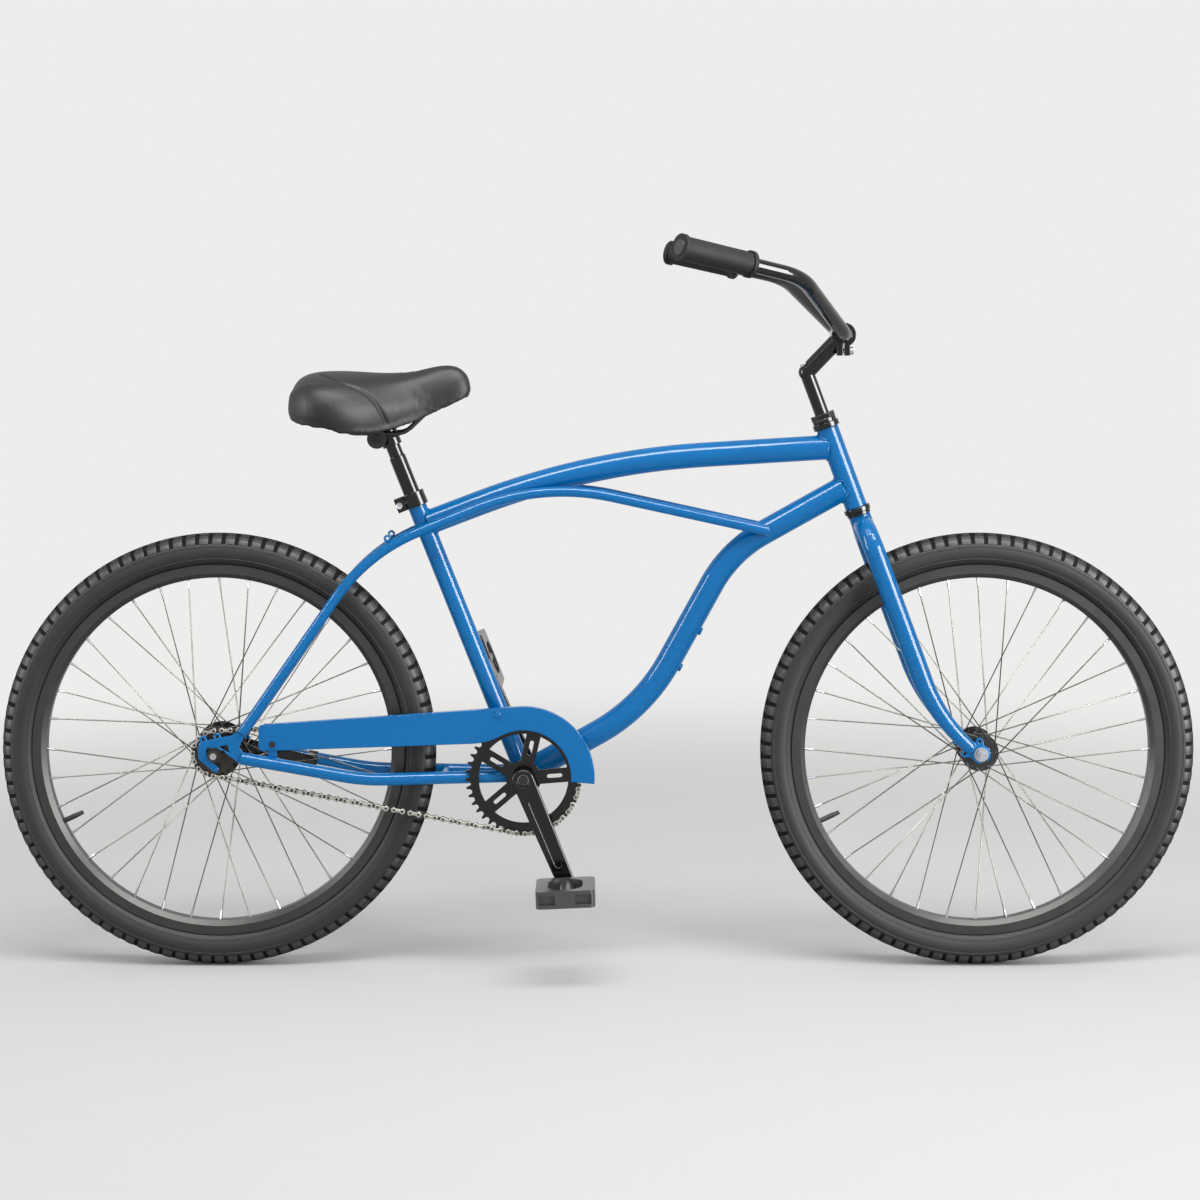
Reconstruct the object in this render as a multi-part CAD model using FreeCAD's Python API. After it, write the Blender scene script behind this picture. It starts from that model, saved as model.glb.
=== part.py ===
import FreeCAD, Part
import math
import os

# Beach cruiser bicycle in millimetres. +X is forward, +Z is up and -Y is the drive side.
# The origin is on the ground, midway between the axles, in the middle plane.

V = FreeCAD.Vector
X_AXIS = V(1, 0, 0)
Y_AXIS = V(0, 1, 0)
Z_AXIS = V(0, 0, 1)
RIGHT = -1
LEFT = 1

# Whole bicycle
WHEEL_GAP = 498.0
TYRE_WIDTH = 54.0
BEAD_DIAMETER = 559.0
SEAT_LEAN = math.radians(21.7)
HEAD_LEAN = math.radians(20.4)
BOTTOM_BRACKET_DROP = 38.2
CUT_OVERRUN = 2.0
BEND_STEPS = 8
PATH_SAMPLES = 400
SEAT_GAP = 0.05
RUNNING_GAP = 0.3

# Drive
CHAIN_PITCH = 12.7
BRACKET_TYRE_ROOM = 130.0
CHAINRING_TEETH = 42
SPROCKET_TEETH = 17
CHAINLINE = 43.5
ROLLER_DIAMETER = 7.75
ROLLER_FLATS_SHARE = 0.86
CHAIN_INNER_WIDTH = 3.3
CHAIN_PLATE_THICKNESS = 1.2
CHAIN_PLATE_HEIGHT = 8.4
SPROCKET_THICKNESS = 2.2
TOOTH_HEIGHT = 3.6
TOOTH_TIP_WIDTH = 2.4
CRANK_LENGTH = 170.0
CRANK_ANGLE = math.radians(-67.3)
CRANK_THICKNESS = 13.0
CRANK_INNER_FACE = 58.0
CRANK_BOSS_RADIUS = 17.0
CRANK_EYE_RADIUS = 13.5
CRANK_EDGE_RADIUS = 2.5
CRANK_BOLT_RADIUS = 7.5
CRANK_BOLT_HEAD = 5.0
CRANK_BOLT_DEPTH = 2.0
CRANK_RECESS_RADIUS = 10.0
CRANK_FLUTE_START = 36.0
CRANK_FLUTE_END = 32.0
CRANK_FLUTE_WIDTH = 11.0
CRANK_FLUTE_DEPTH = 2.5
SPINDLE_DIAMETER = 17.0
CUP_DEPTH = 16.0
CUP_RIM = 2.5
RING_ARM_WIDTH = 22.0
RING_HUB_RADIUS = 27.0
RING_RIM_WIDTH = 13.0
RING_ARM_COUNT = 5
RING_ARM_SLOT_WIDTH = 6.0
RING_ARM_SLOT_LENGTH = 17.0

# Frame tubes
MAIN_TUBE_DIAMETER = 38.0
MAIN_TUBE_WALL = 1.8
HEAD_TUBE_DIAMETER = 34.0
HEAD_TUBE_LENGTH = 131.0
HEAD_TUBE_WALL = 2.0
SEAT_TUBE_DIAMETER = 28.6
SEAT_TUBE_LENGTH = 466.0
STAY_DIAMETER = 15.9
STAY_WALL = 1.5
CHAINSTAY_DIAMETER = 19.0
CHAINSTAY_WALL = 1.6
SHELL_DIAMETER = 40.0
SHELL_WIDTH = 68.0
SHELL_BORE = 34.0
TOP_TUBE_HEAD_DISTANCE = 99.0
TOP_TUBE_SEAT_DISTANCE = 414.0
TOP_TUBE_FRONT_RUN = 377.5
TOP_TUBE_FRONT_SLOPE = math.radians(3.5)
TOP_TUBE_BEND_RADIUS = 1170.0
DOWN_TUBE_HEAD_DISTANCE = 36.0
DOWN_TUBE_FRONT_RUN = 207.7
DOWN_TUBE_REAR_RUN = 210.0
DOWN_TUBE_END_SLOPE = math.radians(29.2)
DOWN_TUBE_FRONT_BEND_RADIUS = 200.0
DOWN_TUBE_REAR_BEND_RADIUS = 280.0
TUBE_MITRE_SHARE = 0.5

# Stays and rear dropouts
HUB_REAR_WIDTH = 110.0
DROPOUT_THICKNESS = 5.0
STAY_FOOT_FORWARD = 41.5
STAY_FOOT_UP = 33.0
STAY_LOWER_RUN = 333.0
STAY_LOWER_SLOPE = math.radians(55.2)
STAY_LOWER_HALF_SPREAD = 42.0
STAY_MIDDLE_RUN = 286.4
STAY_MIDDLE_SLOPE = math.radians(22.0)
STAY_LOWER_BEND_RADIUS = 280.0
STAY_FRONT_BEND_RADIUS = 356.0
STAY_DOWN_TUBE_DISTANCE = 140.0
CHAINSTAY_FOOT_FORWARD = 40.0
CHAINSTAY_FOOT_DOWN = 5.5
CHAINSTAY_BEND_INSET = 106.0
CHAINSTAY_BEND_DOWN = 39.5
CHAINSTAY_BEND_HALF_SPREAD = 52.0
CHAINSTAY_BEND_RADIUS = 300.0
CHAINSTAY_SHELL_HALF_SPREAD = 21.5
BRIDGE_DIAMETER = 12.7
BRIDGE_TYRE_GAP = 9.0
EYELET_RADIUS = 5.5
EYELET_BORE_RADIUS = 2.5
DROPOUT_EYELETS = ((-17.3, 23.4), (4.1, 27.9))
DROPOUT_SLOT_ANGLE = math.radians(-35.0)
DROPOUT_SLOT_BACK = 9.5
DROPOUT_SLOT_AHEAD = 45.0
# Each bar of the plate: its two ends forward of and above the axle, then the radius at each end.
DROPOUT_BARS = (
    ((-15.5, 12.5), (29.0, 19.0), 8.5, 11.0),
    ((27.0, 17.0), (41.5, 33.0), 10.0, 7.0),
    ((25.0, 10.0), (40.0, -5.5), 11.0, 7.5),
    ((-17.3, 23.4), (-14.0, 12.0), 5.5, 5.5),
    ((4.1, 27.9), (5.5, 16.0), 5.5, 5.5),
    ((-18.5, 8.0), (-18.5, -3.5), 7.0, 6.0),
    ((-18.5, -3.5), (1.5, -22.5), 6.0, 4.6),
)
DROPOUT_WINDOW = ((6.4, 12.4), (19.7, 15.3), (22.6, 2.2))

# Bosses
BOSS_RADIUS = 6.0
BOSS_HEIGHT = 3.0
BOTTLE_BOSS_DISTANCE = 130.0
BOTTLE_BOSS_SPACING = 64.0
RACK_EYELET_DISTANCE = 415.0
RACK_EYELET_LENGTH = 8.0
RACK_EYELET_SINK = 1.0

# Chain guard
GUARD_PLANE = 52.0
GUARD_SHEET = 1.2
GUARD_LIP = 10.0
GUARD_OUTER_RADIUS = 108.5
GUARD_INNER_RADIUS = 72.5
GUARD_CENTRE_UP = 2.0
GUARD_FRONT_ANGLE = math.radians(-5.0)
GUARD_INNER_END_ANGLE = math.radians(118.0)
GUARD_TOP_SLOPE = math.radians(4.0)
GUARD_REAR_HEIGHT = 40.0
GUARD_WAIST_HEIGHT = 54.0
GUARD_WAIST_BACK = 80.0
GUARD_REAR_FORWARD = 66.0
GUARD_CORNER_RADIUS = 7.0
GUARD_TAB_WIDTH = 14.0
GUARD_TAB_THICKNESS = 2.5
GUARD_TAB_UP = 15.0
GUARD_TAB_FORWARD = 87.0
GUARD_SCREW_RADIUS = 2.5
GUARD_SCREW_HEAD_RADIUS = 4.6
GUARD_SCREW_HEAD_HEIGHT = 2.6
GUARD_SCREW_LENGTH = 7.0
GUARD_WAIST_SAG_SHARE = 0.058
GUARD_BRACKET_RADIUS = 6.0
GUARD_BRACKET_DISTANCE = 106.0

# Seatpost and saddle
POST_DIAMETER = 25.4
POST_TOP_DIAMETER = 22.2
POST_TOP_LENGTH = 42.0
POST_INSERTION = 110.0
POST_SHOW = 102.0
POST_WALL = 2.2
COLLAR_HEIGHT = 22.0
COLLAR_WALL = 4.0
COLLAR_LUG_LENGTH = 11.0
COLLAR_LUG_WIDTH = 20.0
COLLAR_SLIT = 3.0
COLLAR_BOLT_RADIUS = 2.5
COLLAR_BOLT_HEAD_RADIUS = 4.5
COLLAR_BOLT_HEAD_LENGTH = 5.0
CLAMP_BARREL_RADIUS = 12.5
CLAMP_BARREL_WIDTH = 30.0
CLAMP_FORWARD = -18.0
CLAMP_SLEEVE_WALL = 4.0
CLAMP_SLEEVE_HEIGHT = 24.0
CLAMP_BOLT_RADIUS = 4.0
CLAMP_NUT_ACROSS_FLATS = 13.0
CLAMP_NUT_HEIGHT = 6.0
CHEEK_THICKNESS = 9.0
CHEEK_RADIUS = 15.0
RAIL_DIAMETER = 7.0
RAIL_NOSE_FORWARD = 95.0
RAIL_NOSE_HALF_SPREAD = 10.0
RAIL_TAIL_BACK = 82.0
RAIL_TAIL_HALF_SPREAD = 30.0
RAIL_ABOVE_BOLT = 8.5
RAIL_FLAT_FRONT = 42.0
RAIL_FLAT_REAR = 40.0
RAIL_BEND_RADIUS = 30.0
SADDLE_LENGTH = 273.0
SADDLE_WIDTH = 224.0
SADDLE_HEIGHT = 105.0
SADDLE_NOSE_FORWARD = 142.0
SADDLE_SKIRT_ABOVE_BOLT = 10.0
SADDLE_FOAM_MARGIN = 9.0
SADDLE_BASE_THICKNESS = 6.0
SADDLE_RECESS_DEPTH = 12.0
# Each station: place back from the nose, half width, crown height and skirt height, as shares of the
# sizes above.
SADDLE_STATION_SHARES = (
    (0.000, 0.060, 0.720, 0.600),
    (0.040, 0.170, 0.925, 0.550),
    (0.140, 0.230, 1.000, 0.425),
    (0.310, 0.350, 0.915, 0.222),
    (0.470, 0.600, 0.870, 0.090),
    (0.620, 0.860, 0.893, 0.030),
    (0.770, 0.995, 0.908, 0.100),
    (0.905, 0.890, 0.868, 0.190),
    (1.000, 0.560, 0.640, 0.320),
)

# Each corner of the saddle's cross-section: across and up, as shares of its half width and its height there.
SADDLE_SECTION_SHARES = ((0.86, 0.0), (1.0, 0.34), (0.74, 0.82))

# Fork, headset and bar
FORK_TYRE_ROOM = 68.5
FORK_RAKE = 45.0
STEERER_DIAMETER = 25.4
CROWN_RADIUS = 17.0
CROWN_HEIGHT = 36.0
BLADE_DIAMETER = 31.0
BLADE_TIP_DIAMETER = 20.0
BLADE_WALL = 2.0
BLADE_SHOULDER_DOWN = 17.0
BLADE_SHOULDER_RADIUS = 40.0
BLADE_HALF_SPREAD = 61.0
BLADE_KNEE_HALF_SPREAD = 56.0
BLADE_KNEE_HEIGHT = 78.0
BLADE_KNEE_RADIUS = 276.0
BLADE_TIP_RUN = 70.0
BLADE_TIP_ANGLE = math.radians(27.6)
HUB_FRONT_WIDTH = 100.0
FORK_TAB_RADIUS = 14.5
FORK_EYELETS = ((-2.3, 19.8), (-25.4, 1.1))
LOWER_STACK = 12.0
LOWER_CUP_HEIGHT = 7.0
UPPER_CUP_HEIGHT = 8.0
UPPER_RACE_HEIGHT = 6.0
LOCKNUT_HEIGHT = 8.0
CUP_RADIUS = 20.5
RACE_RADIUS = 18.5
LOCKNUT_ACROSS_FLATS = 32.0
CUP_BORE_RADIUS = 14.0
CUP_RECESS_DEPTH = 4.2
HEADSET_BALL_RADIUS = 15.5
BALL_DIAMETER = 4.0
STEM_DIAMETER = 22.2
STEM_WALL = 2.6
STEM_CORNER_HEIGHT = 90.0
STEM_INSERTION = 75.0
STEM_REACH = 80.0
STEM_RISE_ANGLE = math.radians(46.2)
STEM_CLAMP_RADIUS = 18.7
STEM_CLAMP_WIDTH = 40.0
STEM_SLIT = 2.5
STEM_LUG_LENGTH = 20.0
STEM_LUG_WIDTH = 28.0
STEM_LUG_DROP = 32.0
STEM_BOLT_DROP = 25.0
STEM_ARM_RADIUS = 12.5
STEM_HEAD_SEAT = 8.0
STEM_BOLT_RADIUS = 3.5
STEM_BOLT_HEAD_RADIUS = 6.0
STEM_BOLT_HEAD_HEIGHT = 6.0
WEDGE_LENGTH = 26.0
BAR_DIAMETER = 22.2
BAR_WALL = 2.0
BAR_CLAMP_DIAMETER = 25.4
BAR_CLAMP_SLEEVE = 52.0
BAR_STRAIGHT = 90.0
BAR_BEND_BACK = 77.0
BAR_BEND_OUT = 215.0
BAR_BEND_RISE = 87.0
BAR_END_BACK = 254.0
BAR_END_OUT = 327.0
BAR_END_RISE = 128.0
BAR_INNER_BEND_RADIUS = 70.0
BAR_OUTER_BEND_RADIUS = 110.0
GRIP_LENGTH = 126.0
GRIP_DIAMETER = 35.0
GRIP_FLANGE_DIAMETER = 40.0
GRIP_FLANGE_WIDTH = 6.0
GRIP_CAP = 5.0

# Wheels
RIM_FLANGE_HEIGHT = 6.0
RIM_WIDTH = 32.0
RIM_WALL = 2.5
RIM_DEPTH = 20.5
RIM_WELL_DEPTH = 7.0
RIM_WELL_WIDTH = 20.0
RIM_SHOULDER = 7.0
RIM_FACE_WIDTH = 18.0
TREAD_THICKNESS = 5.5
BEAD_THICKNESS = 3.0
TUBE_WALL = 1.5
TUBE_SIDES = 16
CAGE_SIDES = 8
SPOKE_DIAMETER = 2.0
SPOKES_PER_FLANGE = 18
SPOKE_CROSSINGS = 3
SPOKE_RIM_SPREAD = 4.0
FLANGE_THICKNESS = 3.2
HUB_END_LENGTH = 7.0
HUB_SEAT_DEPTH = 5.0
HUB_BORE_GAP = 1.0
HUB_COLLAR_WALL = 2.5
FRONT_FLANGE_DIAMETER = 58.0
FRONT_FLANGE_SPACING = 68.0
FRONT_BARREL_DIAMETER = 28.0
FRONT_AXLE_DIAMETER = 9.5
FRONT_CONE_DIAMETER = 14.0
REAR_FLANGE_DIAMETER = 76.0
REAR_FLANGE_SPACING = 58.0
REAR_BARREL_DIAMETER = 46.0
REAR_AXLE_DIAMETER = 10.0
REAR_CONE_DIAMETER = 20.0
CONE_LENGTH = 30.0
SPOKE_HOLE_INSET = 4.5
AXLE_OVERHANG = 17.0
NUT_ACROSS_FLATS = 16.0
NUT_HEIGHT = 9.0
WASHER_RADIUS = 11.0
WASHER_HEIGHT = 2.5
DRIVER_RADIUS = 19.0
DRIVER_LIP = 1.5
BRAKE_ARM_LENGTH = 140.0
BRAKE_ARM_ANGLE = math.radians(-11.0)
BRAKE_ARM_THICKNESS = 3.0
BRAKE_ARM_HUB_RADIUS = 19.0
BRAKE_ARM_END_RADIUS = 8.0
BRAKE_CLIP_WIDTH = 14.0
BRAKE_CLIP_SHEET = 1.5

# Pedals
PEDAL_LENGTH = 88.0
PEDAL_WIDTH = 98.0
PEDAL_HEIGHT = 26.0
PEDAL_OFFSET = 14.0
PEDAL_AXLE_DIAMETER = 13.0
PEDAL_BARREL_RADIUS = 11.0
PEDAL_END_WALL = 10.0
PEDAL_CORNER_RADIUS = 9.0
PEDAL_OPENING_LENGTH = 78.0
PEDAL_OPENING_WIDTH = 52.0
PEDAL_TILT = math.radians(2.5)
REFLECTOR_LENGTH = 24.0
REFLECTOR_HEIGHT = 15.0
REFLECTOR_DEPTH = 7.0
REFLECTOR_OFFSET = 27.0

# Places worked out from the sizes above
TYRE_RADIUS = BEAD_DIAMETER / 2 + TYRE_WIDTH
TEETH_TERM = (CHAINRING_TEETH - SPROCKET_TEETH) / (2 * math.pi)
MEAN_TEETH = (CHAINRING_TEETH + SPROCKET_TEETH) / 2
SHORTEST_SPAN = (TYRE_RADIUS + BRACKET_TYRE_ROOM) / CHAIN_PITCH
CHAIN_LINKS = 2 * math.ceil((2 * SHORTEST_SPAN + MEAN_TEETH + TEETH_TERM**2 / SHORTEST_SPAN) / 2)
PITCH_GAP = CHAIN_LINKS - MEAN_TEETH
CENTRE_DISTANCE = CHAIN_PITCH * (PITCH_GAP + math.sqrt(PITCH_GAP**2 - 8 * TEETH_TERM**2)) / 4
WHEELBASE = 2 * TYRE_RADIUS + WHEEL_GAP
FORK_LENGTH = TYRE_RADIUS + FORK_TYRE_ROOM
REAR_AXLE = V(-WHEELBASE / 2, 0, TYRE_RADIUS)
FRONT_AXLE = V(WHEELBASE / 2, 0, TYRE_RADIUS)
BRACKET_RUN = math.sqrt(CENTRE_DISTANCE**2 - BOTTOM_BRACKET_DROP**2)
BRACKET = REAR_AXLE + V(BRACKET_RUN, 0, -BOTTOM_BRACKET_DROP)
SEAT_UP = V(-math.sin(SEAT_LEAN), 0, math.cos(SEAT_LEAN))
HEAD_UP = V(-math.sin(HEAD_LEAN), 0, math.cos(HEAD_LEAN))
HEAD_AHEAD = V(math.cos(HEAD_LEAN), 0, math.sin(HEAD_LEAN))
CROWN_SEAT = FRONT_AXLE - HEAD_AHEAD * FORK_RAKE + HEAD_UP * FORK_LENGTH
HEAD_BOTTOM = CROWN_SEAT + HEAD_UP * LOWER_STACK
HEAD_TOP = HEAD_BOTTOM + HEAD_UP * HEAD_TUBE_LENGTH
SEAT_TOP = BRACKET + SEAT_UP * SEAT_TUBE_LENGTH
DROPOUT_PLANE = (HUB_REAR_WIDTH + DROPOUT_THICKNESS) / 2
CHAINRING_RADIUS = CHAIN_PITCH / (2 * math.sin(math.pi / CHAINRING_TEETH))
SPROCKET_RADIUS = CHAIN_PITCH / (2 * math.sin(math.pi / SPROCKET_TEETH))
CRANK_AHEAD = V(math.cos(CRANK_ANGLE), 0, math.sin(CRANK_ANGLE))
BAR_CENTRE = (HEAD_TOP + HEAD_UP * STEM_CORNER_HEIGHT
              + V(math.cos(STEM_RISE_ANGLE), 0, math.sin(STEM_RISE_ANGLE)) * STEM_REACH)
STEERER_TOP = HEAD_TOP + HEAD_UP * (UPPER_CUP_HEIGHT + UPPER_RACE_HEIGHT + LOCKNUT_HEIGHT)
POST_TOP = SEAT_TOP + SEAT_UP * POST_SHOW
SADDLE_BOLT = POST_TOP - SEAT_UP * (CLAMP_SLEEVE_HEIGHT / 2) + X_AXIS * CLAMP_FORWARD

pieces = {}


def add(name, *solids):
    """Keep one piece, or a group of like pieces, under its node name."""
    pieces[name] = solids[0] if len(solids) == 1 else Part.makeCompound(list(solids))


def both_sides(make):
    """Make the right and the left one of a pair."""
    return [make(side) for side in (RIGHT, LEFT)]


def cylinder(start, direction, length, radius):
    """Round bar from a point along a direction."""
    return Part.makeCylinder(radius, length, start, direction)


def ring(start, direction, length, radius, bore):
    """Round bar with a hole right through it."""
    hole = cylinder(start - direction * CUT_OVERRUN, direction, length + 2 * CUT_OVERRUN, bore)
    return cylinder(start, direction, length, radius).cut(hole)


def side_bar(centre, side, inner, outer, radius):
    """Round bar across the bicycle on one side, between two distances from the middle plane."""
    return cylinder(V(centre.x, side * inner, centre.z), Y_AXIS * side, outer - inner, radius)


def side_ring(centre, side, inner, outer, radius, bore):
    """Ring across the bicycle on one side."""
    return ring(V(centre.x, side * inner, centre.z), Y_AXIS * side, outer - inner, radius, bore)


def side_plate(face, side, inner, outer):
    """Flat plate on one side, from a face in the middle plane."""
    return face.translated(Y_AXIS * (side * inner)).extrude(Y_AXIS * (side * (outer - inner)))


def hexagon(centre, direction, across_flats):
    """Six-sided face square to a direction."""
    corner = across_flats / math.sqrt(3)
    helper = Y_AXIS if abs(direction.y) < 1 / 2 else Z_AXIS
    first = direction.cross(helper).normalize()
    second = direction.cross(first).normalize()
    angles = [math.pi * index / 3 for index in range(7)]
    points = [centre + first * (corner * math.cos(a)) + second * (corner * math.sin(a)) for a in angles]
    return Part.Face(Part.makePolygon(points))


def hex_nut(start, direction, height, across_flats, bore):
    """Six-sided nut."""
    body = hexagon(start, direction, across_flats).extrude(direction * height)
    return body.cut(cylinder(start - direction * CUT_OVERRUN, direction, height + 2 * CUT_OVERRUN, bore))


def on_circle(centre, radius, angle):
    """Point on a circle in a plane square to the axles."""
    return centre + V(math.cos(angle), 0, math.sin(angle)) * radius


def capsule(first, second, first_radius, second_radius):
    """Face in the middle plane: two discs and the band that touches both."""
    along = second - first
    heading = math.atan2(along.z, along.x)
    lean = math.acos((first_radius - second_radius) / along.Length)
    top = [on_circle(first, first_radius, heading + lean), on_circle(second, second_radius, heading + lean)]
    low = [on_circle(second, second_radius, heading - lean), on_circle(first, first_radius, heading - lean)]
    edges = [
        Part.LineSegment(top[0], top[1]),
        Part.Arc(top[1], on_circle(second, second_radius, heading), low[0]),
        Part.LineSegment(low[0], low[1]),
        Part.Arc(low[1], on_circle(first, first_radius, heading + math.pi), top[0]),
    ]
    return Part.Face(Part.Wire([edge.toShape() for edge in edges]))


def rounded_edges(points, radii):
    """Straight runs through the points, joined at each inner point by an arc tangent to both runs."""
    edges = []
    start = points[0]
    for before, corner, after, radius in zip(points, points[1:], points[2:], radii):
        back = (before - corner).normalize()
        ahead = (after - corner).normalize()
        half = back.getAngle(ahead) / 2
        reach = radius / math.tan(half)
        middle = corner + (back + ahead).normalize() * (radius / math.sin(half) - radius)
        edges.append(Part.LineSegment(start, corner + back * reach).toShape())
        edges.append(Part.Arc(corner + back * reach, middle, corner + ahead * reach).toShape())
        start = corner + ahead * reach
    edges.append(Part.LineSegment(start, points[-1]).toShape())
    return edges


def pipe(points, radii, radius):
    """Round bar bent along a path of straight runs and arcs."""
    path = Part.Wire(rounded_edges(points, radii))
    first = path.Edges[0]
    start = first.valueAt(first.FirstParameter)
    heading = first.tangentAt(first.FirstParameter)
    return path.makePipe(Part.Face(Part.Wire([Part.makeCircle(radius, start, heading)])))


def tube(points, radii, diameter, wall):
    """Bent round tube with both ends open."""
    return pipe(points, radii, diameter / 2).cut(pipe(points, radii, diameter / 2 - wall))


def narrowing_bar(points, radii, start_radius, end_radius):
    """Bent round bar of even width on its first bend, narrowing along the second bend to its end."""
    edges = rounded_edges(points, radii)
    plain = sum(edge.Length for edge in edges[:3])
    whole = sum(edge.Length for edge in edges)
    circles = []
    run = 0
    for edge in edges:
        steps = BEND_STEPS if isinstance(edge.Curve, Part.Circle) else 1
        for index in range(steps + 1):
            if circles and index == 0:
                continue
            length = edge.Length * index / steps
            parameter = edge.getParameterByLength(length)
            narrowed = max(0, run + length - plain) / (whole - plain)
            radius = start_radius + (end_radius - start_radius) * narrowed
            circle = Part.makeCircle(radius, edge.valueAt(parameter), edge.tangentAt(parameter))
            circles.append(Part.Wire([circle]))
        run += edge.Length
    return Part.makeLoft(circles, True, True)


def path_point(points, radii, distance):
    """First point of a bent tube's middle line at a side-view distance from the rear axle."""
    for point in Part.Wire(rounded_edges(points, radii)).discretize(Number=PATH_SAMPLES):
        if math.hypot(point.x - REAR_AXLE.x, point.z - REAR_AXLE.z) >= distance:
            return point
    return points[-1]


def turned(centre, outline):
    """Solid of revolution about a cross axis, from (across, radius) points."""
    points = [centre + V(0, across, radius) for across, radius in outline]
    return Part.Face(Part.makePolygon(points + points[:1])).revolve(centre, Y_AXIS, 360)


def hoop(centre, axis, middle_radius, section_radius, sides):
    """Ring of many-sided section round an axis."""
    outward = axis.cross(Y_AXIS if abs(axis.y) < 1 / 2 else Z_AXIS).normalize()
    angles = [2 * math.pi * index / sides for index in range(sides + 1)]
    points = [centre + outward * (middle_radius + section_radius * math.cos(angle))
              + axis * (section_radius * math.sin(angle)) for angle in angles]
    return Part.Face(Part.makePolygon(points)).revolve(centre, axis, 360)


def mirrored(outline):
    """Complete a half outline of (across, radius) points by its mirror image."""
    return outline + [(-across, radius) for across, radius in reversed(outline)]


def dropout_point(forward_up):
    """Place in the rear dropout plate, given forward of and above the axle."""
    return REAR_AXLE + V(forward_up[0], 0, forward_up[1])


def build_rear_dropouts():
    """Hooked plates with an open slot for the axle, two fender eyelets and a lightening window."""
    bars = [capsule(dropout_point(a), dropout_point(b), ra, rb) for a, b, ra, rb in DROPOUT_BARS]
    along = V(math.cos(DROPOUT_SLOT_ANGLE), 0, math.sin(DROPOUT_SLOT_ANGLE))
    slot_radius = REAR_AXLE_DIAMETER / 2 + SEAT_GAP
    slot = capsule(REAR_AXLE - along * DROPOUT_SLOT_BACK, REAR_AXLE + along * DROPOUT_SLOT_AHEAD,
                   slot_radius, slot_radius)
    window = [dropout_point(corner) for corner in DROPOUT_WINDOW]
    cuts = [slot, Part.Face(Part.makePolygon(window + window[:1]))]
    for eyelet in DROPOUT_EYELETS:
        hole = Part.makeCircle(EYELET_BORE_RADIUS, dropout_point(eyelet), Y_AXIS)
        cuts.append(Part.Face(Part.Wire([hole])))

    def plate(side):
        inner = HUB_REAR_WIDTH / 2
        solids = [side_plate(bar, side, inner, inner + DROPOUT_THICKNESS) for bar in bars]
        solid = solids[0].multiFuse(solids[1:])
        reach = (inner - CUT_OVERRUN, inner + DROPOUT_THICKNESS + CUT_OVERRUN)
        return solid.cut([side_plate(cut, side, *reach) for cut in cuts]).removeSplitter()

    right, left = both_sides(plate)
    add("right_rear_dropout", right)
    add("left_rear_dropout", left)


def stay_path(side):
    """Middle line of the bent tube that is seat stay at the back and twin tube in front."""
    foot = REAR_AXLE + V(STAY_FOOT_FORWARD, side * DROPOUT_PLANE, STAY_FOOT_UP)
    rise = V(math.cos(STAY_LOWER_SLOPE), 0, math.sin(STAY_LOWER_SLOPE)) * STAY_LOWER_RUN
    lower = V(foot.x, side * STAY_LOWER_HALF_SPREAD, foot.z) + rise
    flank = side * ((MAIN_TUBE_DIAMETER + STAY_DIAMETER) / 2 + SEAT_GAP)
    climb = V(math.cos(STAY_MIDDLE_SLOPE), 0, math.sin(STAY_MIDDLE_SLOPE)) * STAY_MIDDLE_RUN
    upper = V(lower.x, flank, lower.z) + climb
    end = down_tube_points()[0] - slope_ahead(DOWN_TUBE_END_SLOPE) * STAY_DOWN_TUBE_DISTANCE
    return [foot, lower, upper, V(end.x, flank, end.z)], [STAY_LOWER_BEND_RADIUS, STAY_FRONT_BEND_RADIUS]


def chainstay_path(side):
    """Middle line of a chainstay, from its dropout to the bottom bracket."""
    foot = REAR_AXLE + V(CHAINSTAY_FOOT_FORWARD, side * DROPOUT_PLANE, -CHAINSTAY_FOOT_DOWN)
    bend_forward = TYRE_RADIUS - CHAINSTAY_BEND_INSET
    bend = REAR_AXLE + V(bend_forward, side * CHAINSTAY_BEND_HALF_SPREAD, -CHAINSTAY_BEND_DOWN)
    return [foot, bend, BRACKET + Y_AXIS * (side * CHAINSTAY_SHELL_HALF_SPREAD)], [CHAINSTAY_BEND_RADIUS]


def slope_ahead(slope):
    """Forward direction that climbs at a slope."""
    return V(math.cos(slope), 0, math.sin(slope))


def top_tube_points():
    """Corners of the top tube, set back a little from the middles of the tubes that it meets."""
    head = HEAD_BOTTOM + HEAD_UP * TOP_TUBE_HEAD_DISTANCE
    front = slope_ahead(TOP_TUBE_FRONT_SLOPE)
    corner = head - front * TOP_TUBE_FRONT_RUN
    seat = BRACKET + SEAT_UP * TOP_TUBE_SEAT_DISTANCE
    rear = (corner - seat).normalize()
    return [head - front * (HEAD_TUBE_DIAMETER / 2 * TUBE_MITRE_SHARE), corner,
            seat + rear * (SEAT_TUBE_DIAMETER / 2 * TUBE_MITRE_SHARE)]


def down_tube_points():
    """Corners of the down tube from the middle of the head tube to the bottom bracket."""
    head = HEAD_BOTTOM + HEAD_UP * DOWN_TUBE_HEAD_DISTANCE
    ahead = slope_ahead(DOWN_TUBE_END_SLOPE)
    return [head, head - ahead * DOWN_TUBE_FRONT_RUN, BRACKET + ahead * DOWN_TUBE_REAR_RUN, BRACKET]


def rack_eyelet(side):
    """Middle of the carrier eyelet that stands on top of a stay."""
    path = stay_path(side)
    below, foot, above = [
        path_point(*path, RACK_EYELET_DISTANCE + step * EYELET_RADIUS) for step in (-1, 0, 1)]
    outward = (above - below).cross(Y_AXIS).normalize()
    return foot + outward * (STAY_DIAMETER / 2 + EYELET_RADIUS - RACK_EYELET_SINK)


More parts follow.
